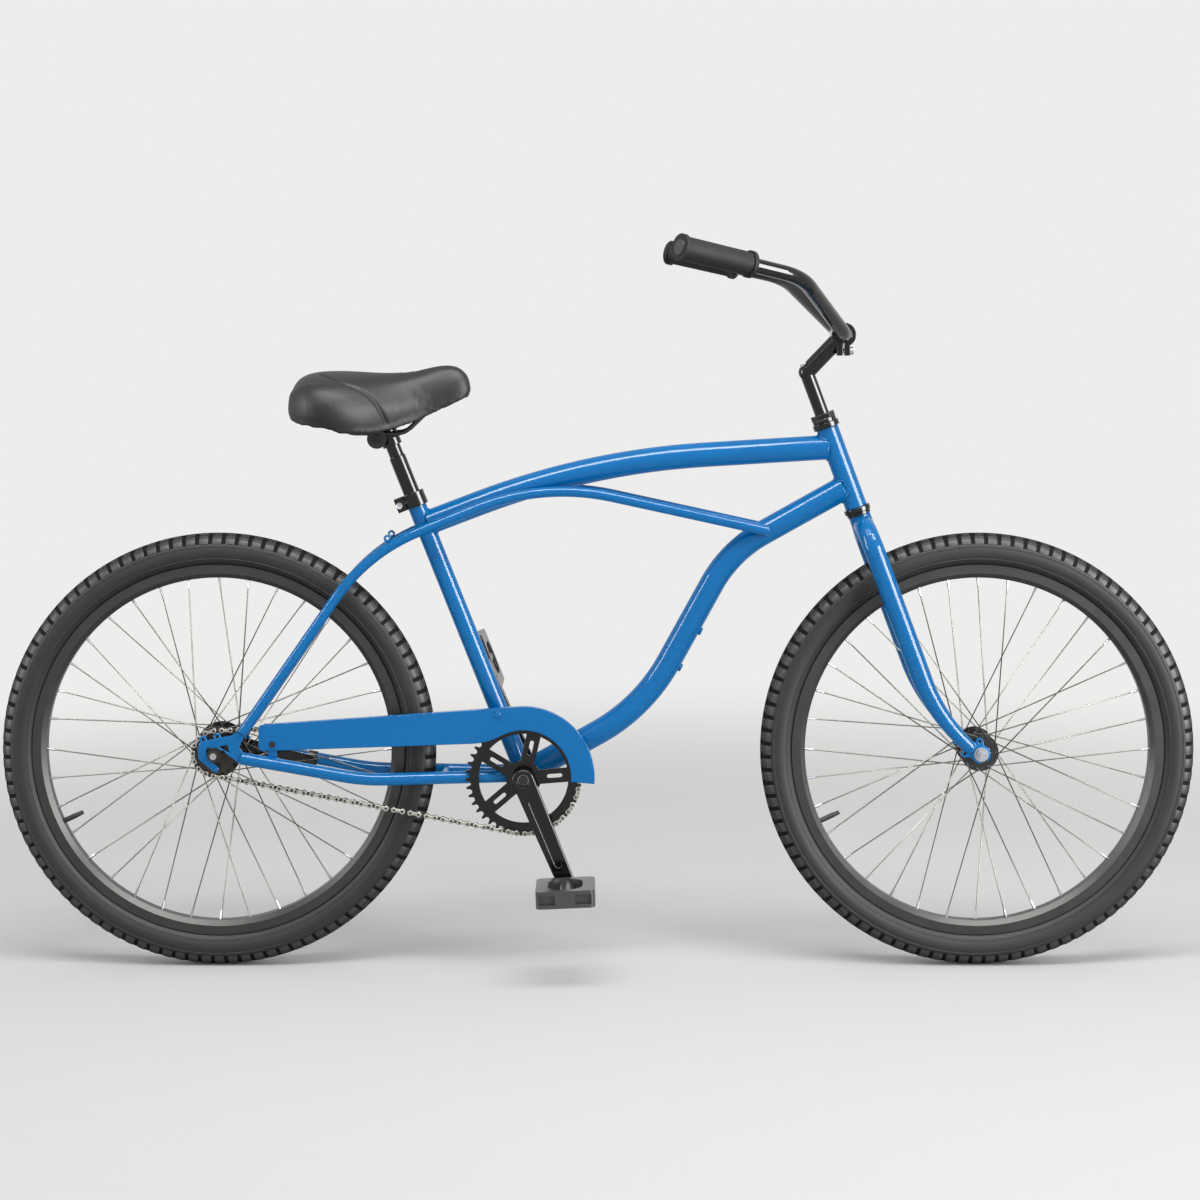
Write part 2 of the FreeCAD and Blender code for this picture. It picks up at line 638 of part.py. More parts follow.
def build_frame():
    """Welded frame: each tube is cut to fit the tubes that it meets."""
    head_solid = cylinder(HEAD_BOTTOM, HEAD_UP, HEAD_TUBE_LENGTH, HEAD_TUBE_DIAMETER / 2)
    head_bore = HEAD_TUBE_DIAMETER / 2 - HEAD_TUBE_WALL
    add("head_tube", ring(HEAD_BOTTOM, HEAD_UP, HEAD_TUBE_LENGTH, HEAD_TUBE_DIAMETER / 2, head_bore))
    shell_end = BRACKET - Y_AXIS * (SHELL_WIDTH / 2)
    shell_solid = cylinder(shell_end, Y_AXIS, SHELL_WIDTH, SHELL_DIAMETER / 2)
    add("bottom_bracket_shell", ring(shell_end, Y_AXIS, SHELL_WIDTH, SHELL_DIAMETER / 2, SHELL_BORE / 2))

    down = down_tube_points()
    down[0] = down[0] - slope_ahead(DOWN_TUBE_END_SLOPE) * (HEAD_TUBE_DIAMETER / 2 * TUBE_MITRE_SHARE)
    down_radii = [DOWN_TUBE_FRONT_BEND_RADIUS, DOWN_TUBE_REAR_BEND_RADIUS]
    down_solid = pipe(down, down_radii, MAIN_TUBE_DIAMETER / 2)
    run = (down[2] - down[1]).normalize()
    outward = run.cross(Y_AXIS)
    boss_feet = [down[1] + run * (BOTTLE_BOSS_DISTANCE + BOTTLE_BOSS_SPACING * index) for index in range(2)]
    boss_top = MAIN_TUBE_DIAMETER / 2 + BOSS_HEIGHT
    boss_holes = [cylinder(foot, outward, boss_top + CUT_OVERRUN, EYELET_BORE_RADIUS) for foot in boss_feet]
    down_tube = tube(down, down_radii, MAIN_TUBE_DIAMETER, MAIN_TUBE_WALL)
    add("down_tube", down_tube.cut([head_solid, shell_solid] + boss_holes))

    seat_solid = cylinder(BRACKET, SEAT_UP, SEAT_TUBE_LENGTH, SEAT_TUBE_DIAMETER / 2)
    seat_tube = ring(BRACKET, SEAT_UP, SEAT_TUBE_LENGTH, SEAT_TUBE_DIAMETER / 2, POST_DIAMETER / 2 + SEAT_GAP)
    add("seat_tube", seat_tube.cut([shell_solid, down_solid]))
    top_tube = tube(top_tube_points(), [TOP_TUBE_BEND_RADIUS], MAIN_TUBE_DIAMETER, MAIN_TUBE_WALL)
    add("top_tube", top_tube.cut([head_solid, seat_solid]))

    fittings = [cylinder(foot, outward, boss_top, BOSS_RADIUS).cut([down_solid, hole])
                for foot, hole in zip(boss_feet, boss_holes)]
    for side, name, dropout in ((RIGHT, "right", "right_rear_dropout"), (LEFT, "left", "left_rear_dropout")):
        points, radii = stay_path(side)
        stay_solid = pipe(points, radii, STAY_DIAMETER / 2)
        hollow = points[:-1] + [points[-1] + (points[-2] - points[-1]).normalize() * STAY_WALL]
        stay = stay_solid.cut(pipe(hollow, radii, STAY_DIAMETER / 2 - STAY_WALL))
        add(name + "_stay", stay.cut(pieces[dropout]))
        rack = rack_eyelet(side)
        rack_faces = [abs(rack.y) + end * RACK_EYELET_LENGTH / 2 for end in (-1, 1)]
        fittings.append(side_ring(rack, side, *rack_faces, EYELET_RADIUS, EYELET_BORE_RADIUS).cut(stay_solid))

        low_points, low_radii = chainstay_path(side)
        low_solid = pipe(low_points, low_radii, CHAINSTAY_DIAMETER / 2)
        chainstay = tube(low_points, low_radii, CHAINSTAY_DIAMETER, CHAINSTAY_WALL)
        add(name + "_chainstay", chainstay.cut([shell_solid, seat_solid, pieces[dropout]]))

    clear = TYRE_RADIUS + BRIDGE_TYRE_GAP + BRIDGE_DIAMETER / 2
    for path in (stay_path, chainstay_path):
        middle = path_point(*path(LEFT), clear)
        bridge = cylinder(V(middle.x, -middle.y, middle.z), Y_AXIS, 2 * middle.y, BRIDGE_DIAMETER / 2)
        radius = (STAY_DIAMETER if path is stay_path else CHAINSTAY_DIAMETER) / 2
        fittings.append(bridge.cut([pipe(*path(side), radius) for side in (RIGHT, LEFT)]))

    bracket = BRACKET + SEAT_UP * GUARD_BRACKET_DISTANCE
    post = side_bar(bracket, RIGHT, 0, GUARD_PLANE, GUARD_BRACKET_RADIUS)
    screw_hole = side_bar(bracket, RIGHT, GUARD_PLANE / 2, GUARD_PLANE + CUT_OVERRUN,
                          GUARD_SCREW_RADIUS + SEAT_GAP)
    fittings.append(post.cut([seat_solid, screw_hole]))
    fittings.append(guard_tab())
    add("brazed_fittings", *fittings)


def guard_tab():
    """Upright tab on the right chainstay that carries the back of the chain guard."""
    points, radii = chainstay_path(RIGHT)
    foot = path_point(points, radii, GUARD_TAB_FORWARD)
    hole = guard_rear_hole()
    root = V(hole.x, 0, foot.z + CHAINSTAY_DIAMETER / 4)
    face = capsule(root, hole, GUARD_TAB_WIDTH / 2, GUARD_TAB_WIDTH / 2)
    plate = side_plate(face, RIGHT, GUARD_PLANE - GUARD_TAB_THICKNESS, GUARD_PLANE)
    bore = side_bar(hole, RIGHT, GUARD_PLANE / 2, GUARD_PLANE + CUT_OVERRUN, GUARD_SCREW_RADIUS + SEAT_GAP)
    return plate.cut([pipe(points, radii, CHAINSTAY_DIAMETER / 2), bore])


def guard_rear_hole():
    """Middle of the chain guard's back screw."""
    return REAR_AXLE + V(GUARD_TAB_FORWARD, 0, GUARD_TAB_UP)


def build_chain_guard():
    """Sheet guard over the chain: an arched front, a long tail and an inturned lip along the top."""
    centre = BRACKET + Z_AXIS * GUARD_CENTRE_UP
    tangent_angle = math.pi / 2 + GUARD_TOP_SLOPE
    crest = on_circle(centre, GUARD_OUTER_RADIUS, tangent_angle)
    back = V(-math.cos(GUARD_TOP_SLOPE), 0, -math.sin(GUARD_TOP_SLOPE))
    tail_x = REAR_AXLE.x + GUARD_REAR_FORWARD
    tail_top = crest + back * ((crest.x - tail_x) / math.cos(GUARD_TOP_SLOPE))
    tail_low = tail_top - Z_AXIS * GUARD_REAR_HEIGHT
    waist = BRACKET + V(-GUARD_WAIST_BACK, 0, GUARD_WAIST_HEIGHT)
    throat = on_circle(centre, GUARD_INNER_RADIUS, GUARD_INNER_END_ANGLE)
    chord = throat - waist
    waist_middle = (waist + throat) * (1 / 2) + Y_AXIS.cross(chord) * GUARD_WAIST_SAG_SHARE
    middle_angle = (GUARD_FRONT_ANGLE + tangent_angle) / 2
    inner_middle = (GUARD_FRONT_ANGLE + GUARD_INNER_END_ANGLE) / 2
    toe_outer = on_circle(centre, GUARD_OUTER_RADIUS, GUARD_FRONT_ANGLE)
    toe_inner = on_circle(centre, GUARD_INNER_RADIUS, GUARD_FRONT_ANGLE)
    edges = [Part.Arc(toe_outer, on_circle(centre, GUARD_OUTER_RADIUS, middle_angle), crest).toShape()]
    edges += rounded_edges([crest, tail_top, tail_low, waist], [GUARD_CORNER_RADIUS] * 2)
    edges.append(Part.Arc(waist, waist_middle, throat).toShape())
    edges.append(Part.Arc(throat, on_circle(centre, GUARD_INNER_RADIUS, inner_middle), toe_inner).toShape())
    edges.append(Part.LineSegment(toe_inner, toe_outer).toShape())
    sheet = side_plate(Part.Face(Part.Wire(edges)), RIGHT, GUARD_PLANE, GUARD_PLANE + GUARD_SHEET)

    inside = GUARD_OUTER_RADIUS - GUARD_SHEET
    lip_end = tail_top - back * GUARD_CORNER_RADIUS
    crest_in = on_circle(centre, inside, tangent_angle)
    toe_in = on_circle(centre, inside, GUARD_FRONT_ANGLE)
    lip_low = lip_end + (crest_in - crest)
    lip_edges = [
        Part.Arc(toe_outer, on_circle(centre, GUARD_OUTER_RADIUS, middle_angle), crest),
        Part.LineSegment(crest, lip_end),
        Part.LineSegment(lip_end, lip_low),
        Part.LineSegment(lip_low, crest_in),
        Part.Arc(crest_in, on_circle(centre, inside, middle_angle), toe_in),
        Part.LineSegment(toe_in, toe_outer),
    ]
    lip_face = Part.Face(Part.Wire([edge.toShape() for edge in lip_edges]))
    lip = side_plate(lip_face, RIGHT, GUARD_PLANE - GUARD_LIP, GUARD_PLANE)
    screw_places = [BRACKET + SEAT_UP * GUARD_BRACKET_DISTANCE, guard_rear_hole()]
    reach = (GUARD_PLANE - CUT_OVERRUN, GUARD_PLANE + GUARD_SHEET + CUT_OVERRUN)
    holes = [side_bar(place, RIGHT, *reach, GUARD_SCREW_RADIUS + SEAT_GAP) for place in screw_places]
    face_out = GUARD_PLANE + GUARD_SHEET
    head_end = face_out + GUARD_SCREW_HEAD_HEIGHT
    heads = [side_bar(place, RIGHT, face_out, head_end, GUARD_SCREW_HEAD_RADIUS) for place in screw_places]
    shanks = [side_bar(place, RIGHT, GUARD_PLANE - GUARD_SCREW_LENGTH, face_out, GUARD_SCREW_RADIUS)
              for place in screw_places]
    # The front fixing is a rivet painted over with the sheet, the rear one a bare screw.
    front_rivet, rear_screw = [head.fuse(shank) for head, shank in zip(heads, shanks)]
    add("chain_guard", sheet.fuse(lip).cut(holes).removeSplitter(), front_rivet)
    return [rear_screw]


def build_tyre(name, axle):
    """Hollow tyre whose beads sit inside the rim, with its inner tube."""
    half = TYRE_WIDTH / 2
    bead = BEAD_DIAMETER / 2 + SEAT_GAP
    flange = BEAD_DIAMETER / 2 + RIM_FLANGE_HEIGHT + SEAT_GAP
    neck = math.sqrt(half**2 - (TYRE_RADIUS - half - flange)**2)
    bead_outer = RIM_WIDTH / 2 - RIM_WALL - SEAT_GAP
    bead_inner = bead_outer - BEAD_THICKNESS
    ceiling = TYRE_RADIUS - TREAD_THICKNESS

    def place(across, radius):
        return axle + V(0, across, radius)

    outer = Part.Arc(place(neck, flange), place(0, TYRE_RADIUS), place(-neck, flange)).toShape()
    inner = Part.Arc(place(-bead_inner, flange), place(0, ceiling), place(bead_inner, flange)).toShape()
    foot = [
        (bead_inner, flange), (bead_inner, bead), (bead_outer, bead), (bead_outer, flange), (neck, flange)]
    right_foot = Part.makePolygon([place(across, radius) for across, radius in foot])
    left_foot = Part.makePolygon([place(-across, radius) for across, radius in reversed(foot)])
    edges = [outer] + left_foot.Edges + [inner] + right_foot.Edges
    add(name + "_tyre", Part.Face(Part.Wire(edges)).revolve(axle, Y_AXIS, 360))

    rise = ceiling - flange
    cavity = (rise**2 + bead_inner**2) / (2 * rise)
    section = cavity - RUNNING_GAP
    outer_skin = hoop(axle, Y_AXIS, ceiling - cavity, section, TUBE_SIDES)
    air = hoop(axle, Y_AXIS, ceiling - cavity, section - TUBE_WALL, TUBE_SIDES)
    add(name + "_inner_tube", outer_skin.cut(air))


def build_rim(name, axle):
    """Rim with hooked walls, a drop well and a narrower inner face for the spokes."""
    half = RIM_WIDTH / 2
    seat = BEAD_DIAMETER / 2
    top = seat + RIM_FLANGE_HEIGHT
    low = top - RIM_DEPTH
    outline = [
        (RIM_WELL_WIDTH / 2, seat - RIM_WELL_DEPTH), (RIM_WELL_WIDTH / 2, seat), (half - RIM_WALL, seat),
        (half - RIM_WALL, top), (half, top), (half, low + RIM_SHOULDER), (RIM_FACE_WIDTH / 2, low),
    ]
    add(name + "_rim", turned(axle, mirrored(outline)))


def build_hub(name, axle, flange_diameter, spacing, barrel_diameter, cone_diameter):
    """Hub shell with a flange near each end and a bearing seat in each mouth."""
    flange = spacing / 2
    half_length = flange + HUB_END_LENGTH
    seat = cone_diameter / 2 + BALL_DIAMETER + 2 * SEAT_GAP
    bore = cone_diameter / 2 + HUB_BORE_GAP
    collar = seat + HUB_COLLAR_WALL
    outline = [
        (half_length - HUB_SEAT_DEPTH, bore), (half_length - HUB_SEAT_DEPTH, seat), (half_length, seat),
        (half_length, collar), (flange + FLANGE_THICKNESS / 2, collar),
        (flange + FLANGE_THICKNESS / 2, flange_diameter / 2),
        (flange - FLANGE_THICKNESS / 2, flange_diameter / 2),
        (flange - FLANGE_THICKNESS / 2, barrel_diameter / 2),
    ]
    add(name + "_hub", turned(axle, mirrored(outline)))
    ball = BALL_DIAMETER / 2
    middle = cone_diameter / 2 + SEAT_GAP + ball
    place = half_length - ball - SEAT_GAP
    add(name + "_hub_bearings", *both_sides(
        lambda side: hoop(axle + Y_AXIS * (side * place), Y_AXIS, middle, ball, CAGE_SIDES)))


def build_spokes(name, axle, flange_diameter, spacing):
    """Crossed spokes: on each flange every other spoke leaves the outer face, and leans the other way."""
    hole_radius = flange_diameter / 2 - SPOKE_HOLE_INSET
    rim_radius = BEAD_DIAMETER / 2 + RIM_FLANGE_HEIGHT - RIM_DEPTH - RUNNING_GAP
    step = 2 * math.pi / SPOKES_PER_FLANGE
    inside = (FLANGE_THICKNESS + SPOKE_DIAMETER) / 2 + RUNNING_GAP
    edge_run = math.sqrt((flange_diameter / 2)**2 - hole_radius**2)
    outside = inside + edge_run * (spacing - SPOKE_RIM_SPREAD) / 2 / (rim_radius - hole_radius)
    spokes = []
    for side in (RIGHT, LEFT):
        for index in range(SPOKES_PER_FLANGE):
            lean = 1 if index % 2 else -1
            hub_angle = step * (index + (side + 1) / 4)
            rim_angle = hub_angle + lean * step * SPOKE_CROSSINGS
            flange_place = side * (spacing / 2 + (outside if lean > 0 else -inside))
            start = on_circle(axle, hole_radius, hub_angle) + Y_AXIS * flange_place
            end = on_circle(axle, rim_radius, rim_angle) + Y_AXIS * (side * SPOKE_RIM_SPREAD / 2)
            run = end - start
            reach = hexagon(start, run.normalize(), SPOKE_DIAMETER)
            spokes.append(reach.extrude(end - start))
    add(name + "_spokes", *spokes)


def build_axle(name, axle, width, diameter, cone_diameter, plate):
    """Threaded axle with a bearing cone on each side, and its washers and nuts."""
    face = width / 2 + plate
    length = face + AXLE_OVERHANG
    rod = cylinder(axle - Y_AXIS * length, Y_AXIS, 2 * length, diameter / 2)
    bore = diameter / 2 + SEAT_GAP
    cones = both_sides(
        lambda side: side_ring(axle, side, width / 2 - CONE_LENGTH, width / 2, cone_diameter / 2, bore))
    add(name + "_axle", rod, *cones)
    nuts = []
    for side in (RIGHT, LEFT):
        nuts.append(side_ring(axle, side, face, face + WASHER_HEIGHT, WASHER_RADIUS, bore))
        start = axle + Y_AXIS * (side * (face + WASHER_HEIGHT))
        nuts.append(hex_nut(start, Y_AXIS * side, NUT_HEIGHT, NUT_ACROSS_FLATS, bore))
    add(name + "_axle_nuts", *nuts)


def build_wheels():
    """Both wheels with their axles."""
    front = ("front", FRONT_AXLE)
    rear = ("rear", REAR_AXLE)
    for wheel in (front, rear):
        build_tyre(*wheel)
        build_rim(*wheel)
    build_hub(*front, FRONT_FLANGE_DIAMETER, FRONT_FLANGE_SPACING, FRONT_BARREL_DIAMETER, FRONT_CONE_DIAMETER)
    build_hub(*rear, REAR_FLANGE_DIAMETER, REAR_FLANGE_SPACING, REAR_BARREL_DIAMETER, REAR_CONE_DIAMETER)
    build_spokes(*front, FRONT_FLANGE_DIAMETER, FRONT_FLANGE_SPACING)
    build_spokes(*rear, REAR_FLANGE_DIAMETER, REAR_FLANGE_SPACING)
    build_axle(*front, HUB_FRONT_WIDTH, FRONT_AXLE_DIAMETER, FRONT_CONE_DIAMETER, DROPOUT_THICKNESS)
    build_axle(*rear, HUB_REAR_WIDTH, REAR_AXLE_DIAMETER, REAR_CONE_DIAMETER, DROPOUT_THICKNESS)


def build_brake_arm():
    """Coaster brake arm on the left of the rear hub, strapped to the chainstay."""
    end = on_circle(REAR_AXLE, BRAKE_ARM_LENGTH, BRAKE_ARM_ANGLE)
    foot, bend = chainstay_path(LEFT)[0][:2]
    run = (bend - foot).normalize()
    middle = foot + run * ((end.x - foot.x) / run.x)
    bore = CHAINSTAY_DIAMETER / 2 + SEAT_GAP
    strap = ring(middle - run * (BRAKE_CLIP_WIDTH / 2), run, BRAKE_CLIP_WIDTH, bore + BRAKE_CLIP_SHEET, bore)
    outer = middle.y - bore - BRAKE_CLIP_SHEET - SEAT_GAP
    inner = outer - BRAKE_ARM_THICKNESS
    arm = side_plate(capsule(REAR_AXLE, end, BRAKE_ARM_HUB_RADIUS, BRAKE_ARM_END_RADIUS), LEFT, inner, outer)
    reach = (inner - CUT_OVERRUN, outer + CUT_OVERRUN)
    hub_hole = side_bar(REAR_AXLE, LEFT, *reach, REAR_CONE_DIAMETER / 2 + SEAT_GAP)
    bolt_hole = side_bar(end, LEFT, *reach, GUARD_SCREW_RADIUS + SEAT_GAP)
    add("coaster_brake_arm", arm.cut([hub_hole, bolt_hole]), strap)
    head = side_bar(end, LEFT, inner - GUARD_SCREW_HEAD_HEIGHT, inner, GUARD_SCREW_HEAD_RADIUS)
    shank = side_bar(end, LEFT, inner, outer, GUARD_SCREW_RADIUS)
    return [head.fuse(shank)]


def chain_lines():
    """Chain geometry: the heading of the two wheel centres and the lean of the straight runs."""
    along = BRACKET - REAR_AXLE
    heading = math.atan2(along.z, along.x)
    lean = math.asin((CHAINRING_RADIUS - SPROCKET_RADIUS) / along.Length)
    return heading + math.pi / 2 + lean, heading - math.pi / 2 - lean, lean


def chain_rollers():
    """Roller centres around the chain, and the angle of the first roller on each wheel."""
    upper, lower, lean = chain_lines()
    ring_step = 2 * math.pi / CHAINRING_TEETH
    cog_step = 2 * math.pi / SPROCKET_TEETH
    step_down = CHAINRING_RADIUS - SPROCKET_RADIUS
    straight = math.sqrt((BRACKET - REAR_AXLE).Length**2 - step_down**2) / CHAIN_PITCH
    on_ring = (math.pi + 2 * lean) / ring_step
    on_cog = (math.pi - 2 * lean) / cog_step
    pitch_count = (2 * straight + on_ring + on_cog) / CHAIN_LINKS
    rollers = []
    cog_phase = None
    for index in range(CHAIN_LINKS):
        run = index * pitch_count
        if run <= on_ring:
            rollers.append(on_circle(BRACKET, CHAINRING_RADIUS, upper - run * ring_step))
        elif run <= on_ring + straight:
            share = (run - on_ring) / straight
            start = on_circle(BRACKET, CHAINRING_RADIUS, lower)
            rollers.append(start + (on_circle(REAR_AXLE, SPROCKET_RADIUS, lower) - start) * share)
        elif run <= on_ring + straight + on_cog:
            angle = lower - (run - on_ring - straight) * cog_step
            cog_phase = angle if cog_phase is None else cog_phase
            rollers.append(on_circle(REAR_AXLE, SPROCKET_RADIUS, angle))
        else:
            share = (run - on_ring - straight - on_cog) / straight
            start = on_circle(REAR_AXLE, SPROCKET_RADIUS, upper)
            rollers.append(start + (on_circle(BRACKET, CHAINRING_RADIUS, upper) - start) * share)
    return rollers, upper, cog_phase


def chain_plate(first, second):
    """Outline of one side plate between two rollers."""
    along = (second - first).normalize()
    up = along.cross(Y_AXIS)
    half = CHAIN_PLATE_HEIGHT / 2
    near, far = (half * math.cos(math.pi / 8), half * math.sin(math.pi / 8))
    ends = [(first, -near, far), (first, -far, near), (second, far, near), (second, near, far),
            (second, near, -far), (second, far, -near), (first, -far, -near), (first, -near, -far)]
    points = [centre + along * a + up * b for centre, a, b in ends]
    return Part.Face(Part.makePolygon(points + points[:1]))


def build_chain():
    """Roller chain link by link: inner and outer plates by turns, with a roller at each joint."""
    rollers, ring_phase, cog_phase = chain_rollers()
    inner = CHAIN_INNER_WIDTH / 2
    outer = inner + CHAIN_PLATE_THICKNESS + SEAT_GAP
    pins = []
    plates = []
    for index, roller in enumerate(rollers):
        start = roller + Y_AXIS * (RIGHT * CHAINLINE - inner)
        face = hexagon(start, Y_AXIS, ROLLER_DIAMETER * ROLLER_FLATS_SHARE)
        pins.append(face.extrude(Y_AXIS * CHAIN_INNER_WIDTH))
        face = chain_plate(roller, rollers[(index + 1) % CHAIN_LINKS])
        near = inner if index % 2 else outer
        for across in (-near - CHAIN_PLATE_THICKNESS, near):
            moved = face.translated(Y_AXIS * (RIGHT * CHAINLINE + across))
            plates.append(moved.extrude(Y_AXIS * CHAIN_PLATE_THICKNESS))
    add("chain", *pins, *plates)
    return ring_phase, cog_phase


def toothed_face(centre, teeth, pitch_radius, phase):
    """Chain wheel face: a round seat under each roller and a blunt tooth between seats."""
    seat = ROLLER_DIAMETER / 2 + 2 * SEAT_GAP
    step = 2 * math.pi / teeth
    tip_radius = pitch_radius + TOOTH_HEIGHT
    tip_half = TOOTH_TIP_WIDTH / 2 / tip_radius
    edges = []
    for index in range(teeth):
        angle = phase + index * step
        roller = on_circle(centre, pitch_radius, angle)
        first = on_circle(roller, seat, angle - math.pi / 2)
        last = on_circle(roller, seat, angle + math.pi / 2)
        rise = on_circle(centre, tip_radius, angle + step / 2 - tip_half)
        fall = on_circle(centre, tip_radius, angle + step / 2 + tip_half)
        following = on_circle(centre, pitch_radius, angle + step)
        edges.append(Part.Arc(first, on_circle(roller, seat, angle + math.pi), last))
        edges.append(Part.LineSegment(last, rise))
        edges.append(Part.LineSegment(rise, fall))
        edges.append(Part.LineSegment(fall, on_circle(following, seat, angle + step - math.pi / 2)))
    return Part.Face(Part.Wire([edge.toShape() for edge in edges]))


def build_drive():
    """Chain, chain wheels, cranks, bottom bracket bearings and pedals."""
    ring_phase, cog_phase = build_chain()
    near = CHAINLINE - SPROCKET_THICKNESS / 2
    far = CHAINLINE + SPROCKET_THICKNESS / 2
    cog = side_plate(toothed_face(REAR_AXLE, SPROCKET_TEETH, SPROCKET_RADIUS, cog_phase), RIGHT, near, far)
    hub_end = REAR_FLANGE_SPACING / 2 + HUB_END_LENGTH
    driver = side_bar(REAR_AXLE, RIGHT, hub_end + RUNNING_GAP, far + DRIVER_LIP, DRIVER_RADIUS)
    hole = side_bar(REAR_AXLE, RIGHT, hub_end - CUT_OVERRUN, far + DRIVER_LIP + CUT_OVERRUN,
                    REAR_CONE_DIAMETER / 2 + SEAT_GAP)
    add("rear_sprocket", cog.fuse(driver).cut(hole).removeSplitter())

    boss = CRANK_BOSS_RADIUS - CRANK_EDGE_RADIUS
    web_outer = CHAINRING_RADIUS - ROLLER_DIAMETER / 2 - RING_RIM_WIDTH
    reach = (near - CUT_OVERRUN, far + CUT_OVERRUN)
    arms = []
    slots = [side_bar(BRACKET, RIGHT, *reach, boss + SEAT_GAP)]
    for index in range(RING_ARM_COUNT):
        angle = CRANK_ANGLE + 2 * math.pi * index / RING_ARM_COUNT
        tip = on_circle(BRACKET, web_outer, angle)
        arms.append(side_plate(capsule(BRACKET, tip, RING_ARM_WIDTH / 2, RING_ARM_WIDTH / 2), RIGHT, *reach))
        middle = (RING_HUB_RADIUS + web_outer) / 2
        ends = [on_circle(BRACKET, middle + side * RING_ARM_SLOT_LENGTH / 2, angle) for side in (-1, 1)]
        slot = capsule(*ends, RING_ARM_SLOT_WIDTH / 2, RING_ARM_SLOT_WIDTH / 2)
        slots.append(side_plate(slot, RIGHT, *reach))
    windows = side_ring(BRACKET, RIGHT, *reach, web_outer, RING_HUB_RADIUS).cut(arms)
    disc = side_plate(toothed_face(BRACKET, CHAINRING_TEETH, CHAINRING_RADIUS, ring_phase), RIGHT, near, far)
    add("chainring", disc.cut([windows] + slots).removeSplitter())

    spindle_end = CRANK_INNER_FACE + CRANK_THICKNESS - CRANK_BOLT_DEPTH - CRANK_BOLT_HEAD
    spindle_foot = BRACKET - Y_AXIS * spindle_end
    add("crank_spindle", cylinder(spindle_foot, Y_AXIS, 2 * spindle_end, SPINDLE_DIAMETER / 2))
    shell_face = SHELL_WIDTH / 2
    seat = SPINDLE_DIAMETER / 2 + BALL_DIAMETER + 2 * SEAT_GAP
    mouth = SPINDLE_DIAMETER / 2 + HUB_BORE_GAP

    def cup(side):
        body = side_bar(BRACKET, side, shell_face - CUP_DEPTH, shell_face, SHELL_BORE / 2 - SEAT_GAP)
        rim = side_bar(BRACKET, side, shell_face, shell_face + CUP_RIM, SHELL_DIAMETER / 2)
        pocket = side_bar(BRACKET, side, shell_face - CUP_DEPTH - CUT_OVERRUN, shell_face - CUP_RIM, seat)
        hole = side_bar(BRACKET, side, shell_face - CUP_DEPTH, shell_face + CUP_RIM + CUT_OVERRUN, mouth)
        return body.fuse(rim).cut([pocket, hole]).removeSplitter()

    add("bottom_bracket_cups", *both_sides(cup))
    ball = BALL_DIAMETER / 2
    ball_place = shell_face - CUP_RIM - ball - SEAT_GAP
    ball_circle = SPINDLE_DIAMETER / 2 + SEAT_GAP + ball
    add("bottom_bracket_bearings", *both_sides(
        lambda side: hoop(BRACKET + Y_AXIS * (side * ball_place), Y_AXIS, ball_circle, ball, CAGE_SIDES)))

    crank_face = CRANK_INNER_FACE + CRANK_THICKNESS
    boss_start = shell_face + CUP_RIM + RUNNING_GAP
    bolts = []
    axles = []
    for side, name, pedal_angle in ((RIGHT, "right", PEDAL_TILT), (LEFT, "left", math.pi / 2 + SEAT_LEAN)):
        eye = BRACKET - CRANK_AHEAD * (side * CRANK_LENGTH)
        face = capsule(BRACKET, eye, CRANK_BOSS_RADIUS, CRANK_EYE_RADIUS)
        arm = side_plate(face, side, CRANK_INNER_FACE, crank_face)
        rims = [edge for edge in arm.Edges if abs(edge.BoundBox.YLength) < SEAT_GAP]
        arm = arm.makeFillet(CRANK_EDGE_RADIUS, rims)
        arm = arm.fuse(side_bar(BRACKET, side, boss_start, CRANK_INNER_FACE, boss))
        bores = [
            side_bar(BRACKET, side, boss_start - CUT_OVERRUN, crank_face, SPINDLE_DIAMETER / 2 + SEAT_GAP),
            side_bar(BRACKET, side, spindle_end, crank_face + CUT_OVERRUN, CRANK_RECESS_RADIUS),
            side_bar(eye, side, CRANK_INNER_FACE - CUT_OVERRUN, crank_face + CUT_OVERRUN,
                     PEDAL_AXLE_DIAMETER / 2 + SEAT_GAP),
        ]
        out = (eye - BRACKET).normalize()
        flute_ends = [BRACKET + out * CRANK_FLUTE_START, eye - out * CRANK_FLUTE_END]
        flute = capsule(*flute_ends, CRANK_FLUTE_WIDTH / 2, CRANK_FLUTE_WIDTH / 2)
        bores.append(side_plate(flute, side, crank_face - CRANK_FLUTE_DEPTH, crank_face + CUT_OVERRUN))
        add(name + "_crank", arm.cut(bores).removeSplitter())
        bolts.append(side_bar(BRACKET, side, spindle_end, spindle_end + CRANK_BOLT_HEAD, CRANK_BOLT_RADIUS))
        pedal_inner = crank_face + PEDAL_OFFSET
        pedal_outer = pedal_inner + PEDAL_WIDTH
        rod = side_bar(eye, side, CRANK_INNER_FACE, pedal_outer - PEDAL_END_WALL / 2, PEDAL_AXLE_DIAMETER / 2)
        collar = side_bar(eye, side, crank_face, pedal_inner - RUNNING_GAP,
                          PEDAL_BARREL_RADIUS - CRANK_EDGE_RADIUS)
        axles.append(rod.fuse(collar).removeSplitter())
        add(name + "_pedal", pedal(eye, side, pedal_inner, pedal_outer, pedal_angle))
    add("crank_bolts", *bolts)
    add("pedal_axles", *axles)


